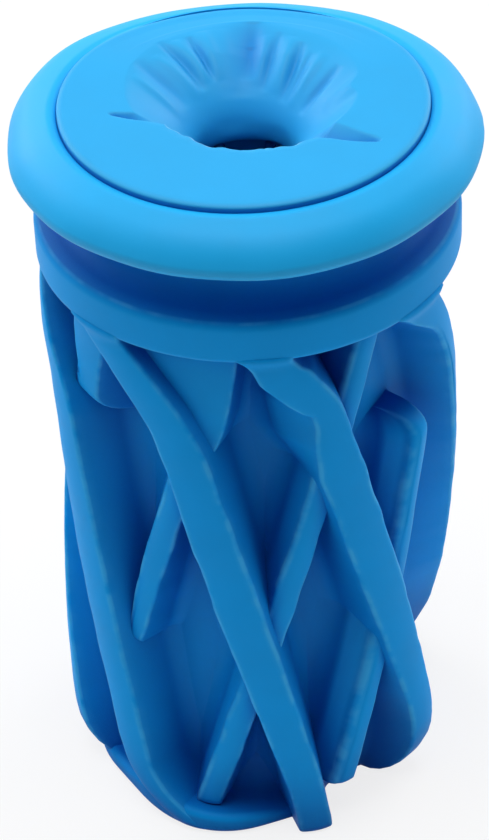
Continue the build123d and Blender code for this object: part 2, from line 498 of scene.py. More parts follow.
def arc(centre: Point, size: Point, start: float, end: float, steps: int) -> list[Point]:
    """Points along an elliptical arc.

    Args:
        centre: Centre of the arc.
        size: Its two half sizes.
        start: Start angle in degrees.
        end: End angle in degrees.
        steps: Number of spans.

    Returns:
        Points from start to end, both included.
    """
    angles = np.radians(np.linspace(start, end, steps + 1))
    return [(centre[0] + size[0] * math.cos(a), centre[1] + size[1] * math.sin(a)) for a in angles]


def tangent_arc(start: Point, end: Point, direction: Point, steps: int) -> list[Point]:
    """Points along the circle that leaves start in a direction and passes through end.

    Args:
        start: Where it starts.
        end: Where it ends.
        direction: Its direction at the start.
        steps: Number of spans.

    Returns:
        Points after start, up to and with end.
    """
    chord = np.array(end) - np.array(start)
    lead = math.atan2(direction[1], direction[0])
    half = math.atan2(chord[1], chord[0]) - lead
    length = math.hypot(*chord)
    points = []
    for step in range(1, steps + 1):
        share = step / steps
        reach = length * math.sin(half * share) / math.sin(half)
        angle = lead + half * share
        points.append((start[0] + reach * math.cos(angle), start[1] + reach * math.sin(angle)))
    return points


SAG_DEPTH = 1.6  # how far the back of the mouth sags, in millimetres
SAG_FROM, SAG_TO = 112.0, 168.0  # azimuths on both sides between which the sag grows
SAG_INNER, SAG_SPAN = 20.0, 12.0  # radius where it begins, and the width over which it grows


def smooth(share: np.ndarray) -> np.ndarray:
    """Ease a share in and out: level at 0 and at 1, and held between them."""
    held = np.clip(share, 0, 1)
    return held * held * (3 - 2 * held)


def back_sag(azimuth: np.ndarray) -> np.ndarray:
    """How far the soft back of the mouth sags, in millimetres, at azimuths in degrees."""
    return SAG_DEPTH * smooth((np.abs(azimuth) - SAG_FROM) / (SAG_TO - SAG_FROM))


def ripples(azimuth: np.ndarray, waves: Sequence[tuple[float, float, float]]) -> np.ndarray:
    """Sum of even waves round the axis.

    Args:
        azimuth: Directions, in degrees.
        waves: Height, number round the axis and start in degrees of each wave.

    Returns:
        The sum at each direction.
    """
    return sum(high * np.sin(np.radians(count * azimuth + start)) for high, count, start in waves)


def sag_share(radius: np.ndarray | float) -> np.ndarray:
    """Share of the sag that a place takes, at radii in millimetres."""
    return np.clip((radius - SAG_INNER) / SAG_SPAN, 0, 1)


def across_plan(radius: np.ndarray, azimuth: np.ndarray) -> tuple[np.ndarray, np.ndarray]:
    """Places across and along, at radii and at azimuths in degrees from the front."""
    angle = np.radians(azimuth)
    return radius * np.sin(angle), -radius * np.cos(angle)


def run(start: Point, end: Point, step: float) -> list[Point]:
    """Points along a straight run.

    Args:
        start: Where it starts.
        end: Where it ends.
        step: About how far apart the points are.

    Returns:
        Points from start on, without the end itself.
    """
    spans = max(1, round(math.dist(start, end) / step))
    first, way = np.array(start), np.array(end) - np.array(start)
    return [tuple(first + way * i / spans) for i in range(spans)]


def swell(place: Vector, scale: float, depth: float) -> float:
    """Soft hand-made unevenness at a place.

    Args:
        place: Where, in metres.
        scale: Bumps in a metre.
        depth: Height of the unevenness.

    Returns:
        How far the surface stands out.
    """
    return noise.noise(place * scale) * depth


def even(place: Vector) -> float:
    """No unevenness anywhere."""
    return 0.0


def revolve_profile(
    profile: Sequence[Point],
    segments: int,
    shift: Callable[[Vector], float] = even,
    highlit_rings: Iterable[int] = (),
) -> tuple[np.ndarray, np.ndarray]:
    """Turn a closed profile round the axis, with uneven radii.

    Args:
        profile: (radius, height) points, in order round the section.
        segments: Steps round the axis.
        shift: Gives the change of radius at a place.
        highlit_rings: Indices of the profile's points that carry the painted edge highlight.

    Returns:
        The points for ring_grid_mesh, and the painted highlight mask.
    """
    points = np.zeros((len(profile), segments, 3))
    edge_highlight = np.zeros((len(profile), segments))
    marked = set(highlit_rings)
    for ring, (radius, height) in enumerate(profile):
        for step in range(segments):
            azimuth = TURN * step / segments
            place = Vector((radius * math.sin(azimuth), -radius * math.cos(azimuth), height))
            grown = radius + shift(place)
            points[ring, step] = (grown * math.sin(azimuth), -grown * math.cos(azimuth), height)
        if ring in marked:
            edge_highlight[ring] = 1.0
    return points, edge_highlight


def tube_faces(spans: int, count: int) -> list[tuple[int, ...]]:
    """Faces of a tube closed at both ends, whose points run ring after ring.

    Args:
        spans: Number of steps along the tube.
        count: Points in a ring.

    Returns:
        The corners of each face.
    """
    faces = [
        (a + i, a + (i + 1) % count, a + count + (i + 1) % count, a + count + i)
        for a in range(0, spans * count, count)
        for i in range(count)
    ]
    ends = [tuple(range(count - 1, -1, -1)), tuple(range(spans * count, (spans + 1) * count))]
    return faces + ends


def face_outwards(mesh: bpy.types.Mesh) -> None:
    """Turn every face of a closed mesh outwards, judged by its signed volume.

    Args:
        mesh: The mesh, which is changed in place.
    """
    corners = np.zeros(len(mesh.vertices) * 3)
    mesh.vertices.foreach_get("co", corners)
    corners = corners.reshape(-1, 3)
    mesh.calc_loop_triangles()
    triangles = np.zeros(len(mesh.loop_triangles) * 3, int)
    mesh.loop_triangles.foreach_get("vertices", triangles)
    a, b, c = (corners[triangles.reshape(-1, 3)[:, i]] for i in range(3))
    if np.einsum("ij,ij->i", a, np.cross(b, c)).sum() < 0:
        mesh.flip_normals()


# ---------------------------------------------------------------------------------------------
# Ribs
# ---------------------------------------------------------------------------------------------
class RibTree:
    """Geometry node tree that bends a straight bar into a rib that winds round the cup.

    The bar's points lie on the axis, at their height. Their attributes say where they are in the
    rib's section: side (-1 left, 1 right), reach (share of the half width), outset (beyond it),
    rise (share of the rib's height over the core), lift (beyond that), tuck (sunk in the core),
    spread (uneven change of the half width there) and splay (how far the wall's foot leans out).
    """

    INPUTS: dict[str, float] = {
        "Foot Azimuth": 0.0,
        "Turn Rate": 0.0,
        "Root Sweep": 0.0,
        "Root Height": 0.03,
        "Foot Sweep": 0.0,
        "Foot Sweep Height": 0.022,
        "Low End": 0.0,
        "High End": 0.12,
        "Low Fade": 0.001,
        "High Fade": 0.001,
        "Low Taper": 0.001,
        "Tip Share": 1.0,
        "Collar Underside": 0.12,
        "Collar Radius": 0.041,
        "Core Radius": 0.028,
        "Crest Radius": 0.0405,
        "Half Width": 0.0048,
        "Foot Half Width": 0.0034,
        "Flare": 0.0,
        "Web": 0.0,
        "Web Height": 0.034,
        "Root Fillet": 0.004,
        "Waver": 0.0004,
        "Waver Scale": 90.0,
        "Seed": 0.0,
    }
    FILLET_SPREAD = 0.8  # share of the root's fillet that widens each side
    CREST_WAVER = 0.8  # unevenness of the crest's height, in wavers
    EDGE_WAVER = 2.0  # unevenness of the edges, in wavers

    def __init__(self) -> None:
        """Build the tree."""
        inputs = {"Geometry": "Geometry", **self.INPUTS, "Finish": "Material"}
        self.graph = NodeGraph.group("helical_rib", "Geometry", inputs, {"Geometry": "Geometry"})
        self.source = self.graph.node("NodeGroupInput")
        self._bend()

    def _given(self, name: str) -> NodeValue:
        """The tree's input of that name."""
        return NodeValue(self.graph, self.source.outputs[name])

    def _attribute(self, name: str) -> NodeValue:
        """A named number on the bar's points."""
        kind = "GeometryNodeInputNamedAttribute"
        return self.graph.value(kind, "Attribute", {"Name": name}, data_type="FLOAT")

    def _waver(self, along: NodeValue, offset: float) -> NodeValue:
        """Uneven line along the rib.

        Args:
            along: Place along the rib.
            offset: Start of the line, which sets it apart from the rib's others.

        Returns:
            A value of about -0.5 to 0.5.
        """
        place = along * self._given("Waver Scale") + self._given("Seed") + offset
        inputs = {"W": place, "Scale": 1.0, "Detail": 2.0}
        return self.graph.value("ShaderNodeTexNoise", 0, inputs, noise_dimensions="1D") - 0.5

    def _azimuth(self, height: NodeValue, curl: NodeValue) -> NodeValue:
        """Azimuth of the rib's centre line.

        Args:
            height: The point's height.
            curl: How far into the root's sweep it lies.

        Returns:
            The azimuth, in radians.
        """
        kick = (height / self._given("Foot Sweep Height")).fading()
        turned = self._given("Foot Azimuth") + self._given("Turn Rate") * height
        return turned + self._given("Foot Sweep") * kick * kick - self._given("Root Sweep") * curl

    def _half_width(self, height: NodeValue, curl: NodeValue, near: NodeValue, left: NodeValue) -> NodeValue:
        """Half width at a height, wider towards the root and narrower towards a pointed tip.

        Args:
            height: The point's height.
            curl: How far into the root's sweep it lies.
            near: How far into the root's fillet it lies.
            left: 1 on the left side and 0 elsewhere.

        Returns:
            The half width on the point's side.
        """
        spread = (near * near * -1.0 + 1.0).math("MAXIMUM", 0.0).math("SQRT") * -1.0 + 1.0
        climb = (height * 2.0 / self._given("Collar Underside")).clamped()
        foot_half = self._given("Foot Half Width")
        half = foot_half + (self._given("Half Width") - foot_half) * climb
        half = half + self._given("Flare") * curl * 0.5
        half = half + self._given("Root Fillet") * spread * self.FILLET_SPREAD
        web = ((self._given("High End") - height) / self._given("Web Height")).fading() * self._given("Web")
        taper = ((height - self._given("Low End")) / self._given("Low Taper")).clamped()
        tip = self._given("Tip Share")
        return (half + web * left) * (tip + (tip * -1.0 + 1.0) * taper)

    def _bend(self) -> None:
        """Wire the formula from the bar's attributes to the place of each point."""
        graph = self.graph
        position = graph.node("GeometryNodeInputPosition").outputs[0]
        height = graph.value("ShaderNodeSeparateXYZ", "Z", {0: position})
        side = self._attribute("side")
        left = (side * -1.0).clamped()
        below = (self._given("Collar Underside") - height).math("MAXIMUM", 0.0)
        curl = (below / self._given("Root Height")).fading()
        curl = curl * curl
        near = (below / self._given("Root Fillet")).fading()

        fade = ((height - self._given("Low End")) / self._given("Low Fade")).rounded()
        fade = fade * ((self._given("High End") - height) / self._given("High Fade")).rounded()
        core = self._given("Core Radius")
        crest = self._given("Crest Radius")
        tall = (crest - core + (self._given("Collar Radius") - crest) * near) * fade
        rise = self._attribute("rise")
        waver = self._given("Waver")
        radius = core + tall * rise + self._attribute("lift") * fade - self._attribute("tuck")
        radius = radius + self._waver(height, 57.0) * waver * rise * fade * self.CREST_WAVER

        reach = self._attribute("reach")
        outset = self._attribute("outset") + (rise * -1.0 + 1.0) * self._attribute("splay")
        half = self._half_width(height, curl, near, left)
        edge_waver = self._waver(height, 0.0) * left + self._waver(height, 31.0) * (left * -1.0 + 1.0)
        across = side * ((half + self._attribute("spread")) * reach + outset * fade)
        across = across + edge_waver * waver * self.EDGE_WAVER * rise * reach * side

        azimuth = self._azimuth(height, curl) + across / radius
        place = {0: radius * azimuth.math("SINE"), 1: radius * azimuth.math("COSINE") * -1.0, 2: height}
        combined = graph.node("ShaderNodeCombineXYZ", place).outputs[0]
        moved = {"Geometry": self.source.outputs["Geometry"], "Position": combined}
        finish_tree(graph, self.source, graph.node("GeometryNodeSetPosition", moved))

    def wind(self, name: str, bar: bpy.types.Mesh, values: dict[str, float]) -> None:
        """Bend a bar into a rib of the cup, keep it as a plain mesh and dress it.

        Args:
            name: The CAD node that the rib stands for.
            bar: The straight bar.
            values: Inputs that differ from the tree's defaults.
        """
        piece = bake_tree(name + "_skin", bar, self.graph.tree, values, CUP_FINISH)
        dress(piece, Body.CUP, [name])


def finish_tree(graph: NodeGraph, source: bpy.types.Node, shape: bpy.types.Node) -> None:
    """End a geometry tree: make its shape real, paint it and give it out.

    Args:
        graph: The tree.
        source: Its group input, with a Finish.
        shape: The node whose first output is the shape.
    """
    real = graph.node("GeometryNodeRealizeInstances", {0: shape.outputs[0]})
    painted = {"Geometry": real.outputs[0], "Material": source.outputs["Finish"]}
    graph.node("NodeGroupOutput", {0: graph.node("GeometryNodeSetMaterial", painted).outputs[0]})


def bake_tree(
    name: str,
    base: bpy.types.Mesh,
    tree: bpy.types.NodeTree,
    values: dict[str, float],
    finish: SiliconeFinish,
) -> bpy.types.Object:
    """Run a node tree on a mesh and turn the result into a plain piece.

    Args:
        name: Name of the finished piece.
        base: The mesh that the tree starts from.
        tree: The tree.
        values: Inputs by name.
        finish: The material for its Finish input.

    Returns:
        The finished piece, at the origin and with no modifier left.
    """
    carrier = put(name + "_base", base)
    modifier = carrier.modifiers.new("build", "NODES")
    modifier.node_group = tree
    for item in tree.interface.items_tree:
        if item.item_type != "SOCKET" or item.in_out != "INPUT":
            continue
        if item.name in values:
            modifier[item.identifier] = values[item.name]
        elif item.name == "Finish":
            modifier[item.identifier] = finish.material()
    carrier.update_tag()
    bpy.context.view_layer.update()
    graph = bpy.context.evaluated_depsgraph_get()
    mesh = bpy.data.meshes.new_from_object(carrier.evaluated_get(graph))
    bpy.data.objects.remove(carrier)
    face_outwards(mesh)
    return link_mesh(name, mesh, None)


@dataclass(frozen=True)
class EdgeShift:
    """How a rib's two edges stray at a height, outwards from its even width. Millimetres."""

    height: float
    left: float
    right: float
    splay: float = 0.0


@dataclass(frozen=True)
class RibSection:
    """Section of a rib: crowned crest, small edge rounding, drafted wall, wide root fillet."""

    edge: float = 0.9 * MM
    draft: float = 0.9 * MM
    fillet: float = 3.4 * MM
    crown: float = 0.25 * MM
    tuck: float = 0.7 * MM
    skirt: tuple[Point, ...] = ((1.2 * MM, 0.07 * MM), (2.6 * MM, 0.24 * MM))  # beyond the fillet, sunk
    skirt_width: float = 3.0 * MM
    crest_reaches: tuple[float, ...] = (0.3, 0.6, 0.84)
    edge_steps: int = 4
    wall_steps: int = 5
    fillet_steps: int = 7

    def half(self) -> list[dict[str, float]]:
        """One half of the section, from beside the crest's middle down to the tucked skirt.

        Returns:
            Attribute values for each point.
        """
        rows: list[dict[str, float]] = []

        def add(
            reach: float, outset: float, rise: float, lift: float, tuck: float = 0.0, edge_highlight: float = 0.0
        ) -> None:
            """Add one point."""
            rows.append(dict(reach=reach, outset=outset, rise=rise, lift=lift, tuck=tuck, edge_highlight=edge_highlight))

        for reach in self.crest_reaches:
            add(reach, -self.edge * reach, 1.0, self.crown * (1 - reach * reach))
        for step in range(self.edge_steps + 1):
            angle = math.radians(90 - 90 * step / self.edge_steps)
            outset = self.edge * (math.cos(angle) - 1)
            # the rounded edge's points carry the painted highlight line
            edge_highlight = 1.0 if 0 < step < self.edge_steps else 0.25
            add(1.0, outset, 1.0, self.edge * (math.sin(angle) - 1), edge_highlight=edge_highlight)
        for step in range(1, self.wall_steps):
            share = step / self.wall_steps
            add(1.0, self.draft * share, 1 - share, self.fillet * share - self.edge * (1 - share))
        for step in range(self.fillet_steps + 1):
            angle = math.radians(90 * step / self.fillet_steps)
            outset = self.draft + self.fillet * (1 - math.cos(angle))
            add(1.0, outset, 0.0, self.fillet * (1 - math.sin(angle)))
        for beyond, sunk in self.skirt + ((self.skirt_width, self.tuck),):
            add(1.0, self.draft + self.fillet + beyond, 0.0, 0.0, sunk)
        return rows

    def bar(
        self,
        heights: Sequence[float],
        left: "RibSection | None" = None,
        edges: Sequence[EdgeShift] = (),
    ) -> bpy.types.Mesh:
        """Straight closed bar with the section's attributes at every height.

        Args:
            heights: Heights of its stations, from low to high.
            left: Section of the left side, where it differs.
            edges: Uneven widths, from low to high.

        Returns:
            The mesh that RibTree bends.
        """
        plain = dict(outset=0.0, lift=0.0, tuck=0.0, edge_highlight=0.0)
        middle = plain | dict(reach=0.0, rise=1.0, lift=self.crown)
        outer, inner, under = (plain | dict(reach=part, rise=0.0, tuck=self.tuck) for part in (1.0, 0.5, 0.0))
        right_side = self.half() + [outer, inner]
        left_side = [inner, outer] + list(reversed((left or self).half()))
        loop = [(0.0, middle)] + [(1.0, row) for row in right_side]
        loop += [(0.0, under)] + [(-1.0, row) for row in left_side]
        sides = [side for side, _ in loop]
        count = len(loop)
        mesh = bpy.data.meshes.new("bar")
        points = [(0.0, 0.0, height) for height in heights for _ in loop]
        mesh.from_pydata(points, [], tube_faces(len(heights) - 1, count))
        for key in middle:
            mark_points(mesh, key, [row[key] for _ in heights for _, row in loop])
        mark_points(mesh, "side", sides * len(heights))
        shifts = edges or (EdgeShift(0.0, 0.0, 0.0),)
        places = np.array(heights) / MM
        known = [shift.height for shift in shifts]
        on_left, on_right, splay = (
            np.interp(places, known, [getattr(shift, part) for shift in shifts]) * MM
            for part in ("left", "right", "splay")
        )
        mark_points(mesh, "spread", np.where(np.array(sides) < 0, on_left[:, None], on_right[:, None]))
        mark_points(mesh, "splay", np.where(np.array(sides) < 0, splay[:, None], 0.0))
        return mesh


def station_heights(low: float, high: float, low_fade: float, high_fade: float) -> list[float]:
    """Heights of a rib's stations, close together where an end rounds off.

    Args:
        low: Lower end.
        high: Upper end.
        low_fade: Length of the lower rounding.
        high_fade: Length of the upper rounding.

    Returns:
        Heights from low to high.
    """
    end_steps = 8
    spacing = 1.1 * MM
    ease = [1 - math.cos(math.radians(90 * i / end_steps)) for i in range(end_steps)]
    lower = [low + low_fade * share for share in ease]
    upper = [high - high_fade * share for share in reversed(ease)]
    spans = max(3, round((high - high_fade - low - low_fade) / spacing))
    middle = np.linspace(low + low_fade, high - high_fade, spans + 1)
    return lower + middle.tolist() + upper


@dataclass
class LongRibs:
    """The seven wide ribs, which run down to the right. The tables are in degrees and millimetres,
    apart from leads: the height of a full turn, in metres."""

    sizes: CupSizes
    tree: RibTree
    feet: tuple[float, ...] = (-37.0, 16.0, 62.0, 127.3, 180.0, 230.0, 290.0)
    leads: tuple[float, ...] = (1.10, 0.97, 0.88, 0.666, 0.88, 0.92, 0.55)
    root_sweeps: tuple[float, ...] = (36.0, 17.0, 8.0, 7.7, 14.0, 14.0, 5.0)
    root_heights: tuple[float, ...] = (29.0, 26.0, 20.0, 25.0, 30.0, 30.0, 40.0)
    foot_sweeps: tuple[float, ...] = (17.0, -2.0, -11.0, -2.0, 2.0, -3.0, 3.0)
    foot_heights: tuple[float, ...] = (14.0, 22.0, 22.0, 22.0, 22.0, 22.0, 22.0)
    flares: tuple[float, ...] = (4.0, 1.5, 0.5, 1.4, 4.0, 1.0, 1.0)
    root_fillets: tuple[float, ...] = (3.0, 1.2, 1.0, 2.0, 3.0, 3.0, 2.0)
    lobes: tuple[float, ...] = (1.6, 1.2, 15.0, 15.0, 1.2, 15.0, 11.0)
    crests: tuple[float, ...] = (40.5, 40.3, 40.1, 40.0, 40.3, 40.3, 40.4)
    width: float = 9.6 * MM
    foot_width: float = 6.8 * MM
    buried: float = 3.4 * MM  # how far the root runs up behind the collar's edge
    high_fade: float = 2.8 * MM
    proud: float = 0.05 * MM
    foot_cut: float = 2 * MM  # a foot that rounds off over less than this is cut flat
    foot_sunk: float = 0.6 * MM
    seed_step: float = 13.7
    section: RibSection = RibSection()
    torn_root: tuple[EdgeShift, ...] = (
        EdgeShift(92.0, 0.0, 0.0, 0.0),
        EdgeShift(99.0, -1.2, 0.0, 3.6),
        EdgeShift(104.0, -2.8, 0.3, 5.0),
        EdgeShift(107.6, -3.3, 0.4, 5.0),
        EdgeShift(108.7, -1.9, 0.5, 3.0),
        EdgeShift(111.0, -0.5, 0.6, 0.5),
        EdgeShift(113.5, 0.4, 0.3),
        EdgeShift(116.0, 1.2, 0.0),
        EdgeShift(118.5, 0.6, 0.3),
        EdgeShift(119.5, 0.3, -0.6),
        EdgeShift(121.0, 0.3, -0.8),
    )  # the middle rib's flap and the flank under it
    narrow_crest: tuple[EdgeShift, ...] = (
        EdgeShift(30.0, 0.0, 0.0),
        EdgeShift(60.0, -2.5, 0.0),
        EdgeShift(90.0, -3.6, 0.0),
        EdgeShift(110.0, -3.7, 0.0),
        EdgeShift(113.5, -2.8, 0.0),
        EdgeShift(118.0, 0.0, 0.0),
        EdgeShift(121.0, 0.8, 0.0),
    )  # the right rib, cut back on its left

    def build(self) -> None:
        """Build and dress every long rib."""
        s = self.sizes
        top = s.collar_low + self.buried
        uneven_edges = {2: self.torn_root, 3: self.narrow_crest}
        for number, foot in enumerate(self.feet):
            low_fade = self.lobes[number] * MM
            low = 0.0 if low_fade > self.foot_cut else -self.foot_sunk
            heights = station_heights(low, top, low_fade, self.high_fade)
            heights = sorted({round(max(0.0, h), 7) for h in heights if h > -0.2 * MM})
            values = {
                "Foot Azimuth": math.radians(foot),
                "Turn Rate": -TURN / self.leads[number],
                "Root Sweep": math.radians(self.root_sweeps[number]),
                "Root Height": self.root_heights[number] * MM,
                "Foot Sweep": math.radians(self.foot_sweeps[number]),
                "Foot Sweep Height": self.foot_heights[number] * MM,
                "Low End": low,
                "High End": top,
                "Low Fade": low_fade,
                "High Fade": self.high_fade,
                "Root Fillet": self.root_fillets[number] * MM,
                "Collar Underside": s.collar_low,
                "Collar Radius": s.collar + self.proud,
                "Core Radius": s.core,
                "Crest Radius": self.crests[number] * MM,
                "Half Width": self.width / 2,
                "Foot Half Width": self.foot_width / 2,
                "Flare": self.flares[number] * MM,
                "Seed": self.seed_step * (number + 1),
            }
            bar = self.section.bar(heights, edges=uneven_edges.get(number, ()))
            self.tree.wind(f"long_rib_{number + 1}", bar, values)


@dataclass
class CrossRibs:
    """The eight thin ribs of the other hand, which pass under the long ribs. The tables are in
    degrees and millimetres, apart from leads: the height of a full turn, in metres."""

    sizes: CupSizes
    tree: RibTree
    feet: tuple[float, ...] = (-66.6, -22.4, 19.8, 78.0, 118.0, 158.0, 201.0, 247.0)
    leads: tuple[float, ...] = (0.75, 0.74, 0.818, 0.78, 0.75, 0.75, 0.80, 0.76)
    drops: tuple[float, ...] = (0.0, 0.0, 30.0, 0.0, 0.0, 12.0, 30.0, 0.0)
    rises: tuple[float, ...] = (39.5, 3.6, 8.0, 62.0, 7.0, 40.0, 8.0, 96.5)
    webs: tuple[float, ...] = (16.0, 0.0, 0.0, 0.0, 8.0, 0.0, 0.0, 3.0)
    crests: tuple[float, ...] = (36.9, 36.9, 37.8, 36.9, 36.9, 36.9, 36.9, 37.4)
    pointed: tuple[bool, ...] = (True, False, False, True, False, True, False, True)
    width: float = 5.6 * MM
    tip_width: float = 1.6 * MM
    taper: float = 18.0 * MM
    point_fade: float = 0.3  # share of the taper over which a pointed tip rises
    blunt_taper: float = 0.5 * MM
    blunt_fade: float = 1.6 * MM
    buried: float = 1.5 * MM
    hung_fade: float = 0.5 * MM
    free_fade: float = 5.0 * MM
    web_height: float = 26.0 * MM
    root_fillet: float = 2.5 * MM
    seed_step: float = 7.3
    first_seed: float = 100.0
    section: RibSection = RibSection(edge=0.7 * MM, fillet=2.6 * MM, draft=0.7 * MM)
    left: RibSection = RibSection(edge=1.2 * MM, fillet=4.0 * MM, draft=1.4 * MM)
    soft_left: RibSection = RibSection(edge=1.9 * MM, fillet=4.5 * MM, draft=2.6 * MM)
    soft_rib: int = 2  # index of the rib whose left side is the softest
    leaf: tuple[EdgeShift, ...] = (
        EdgeShift(40.0, -0.4, 1.0),
        EdgeShift(46.0, 0.0, 1.4),
        EdgeShift(52.0, 0.0, 0.6),
        EdgeShift(60.0, 0.0, 0.0),
        EdgeShift(92.0, 0.0, 0.4),
        EdgeShift(98.0, 0.0, 1.8),
        EdgeShift(104.0, 0.0, 2.2),
        EdgeShift(112.0, 0.0, 1.4),
        EdgeShift(120.0, 0.0, 0.2),
    )  # the first rib's bowed right edge under the collar
    stub: tuple[EdgeShift, ...] = (
        EdgeShift(96.5, -8.4, 8.2),
        EdgeShift(99.8, -6.8, 6.8),
        EdgeShift(103.2, -4.2, 5.6),
        EdgeShift(105.0, -1.4, 5.0),
        EdgeShift(110.5, -0.3, 4.0),
        EdgeShift(120.0, 0.0, 2.0),
    )  # the last rib's tip, which bends to the right

    def build(self) -> None:
        """Build and dress every cross rib."""
        s = self.sizes
        uneven_edges = {0: self.leaf, 7: self.stub}
        for number, foot in enumerate(self.feet):
            hung = self.drops[number] == 0.0
            pointed = self.pointed[number]
            top = s.collar_low + (self.buried if hung else -self.drops[number] * MM)
            low = self.rises[number] * MM
            low_fade = self.taper * self.point_fade if pointed else self.blunt_fade
            high_fade = self.hung_fade if hung else self.free_fade
            values = {
                "Foot Azimuth": math.radians(foot),
                "Turn Rate": TURN / self.leads[number],
                "Low End": low,
                "High End": top,
                "Low Fade": low_fade,
                "High Fade": high_fade,
                "Low Taper": self.taper if pointed else self.blunt_taper,
                "Tip Share": self.tip_width / self.width if pointed else 1.0,
                "Collar Underside": s.collar_low,
                "Collar Radius": self.crests[number] * MM,
                "Core Radius": s.core,
                "Crest Radius": self.crests[number] * MM,
                "Half Width": self.width / 2,
                "Foot Half Width": self.width / 2,
                "Web": self.webs[number] * MM,
                "Web Height": self.web_height,
                "Root Fillet": self.root_fillet,
                "Seed": self.seed_step * (number + 1) + self.first_seed,
            }
            heights = station_heights(low, top, low_fade, high_fade)
            left = self.soft_left if number == self.soft_rib else self.left
            bar = self.section.bar(heights, left, uneven_edges.get(number, ()))
            self.tree.wind(f"cross_rib_{number + 1}", bar, values)


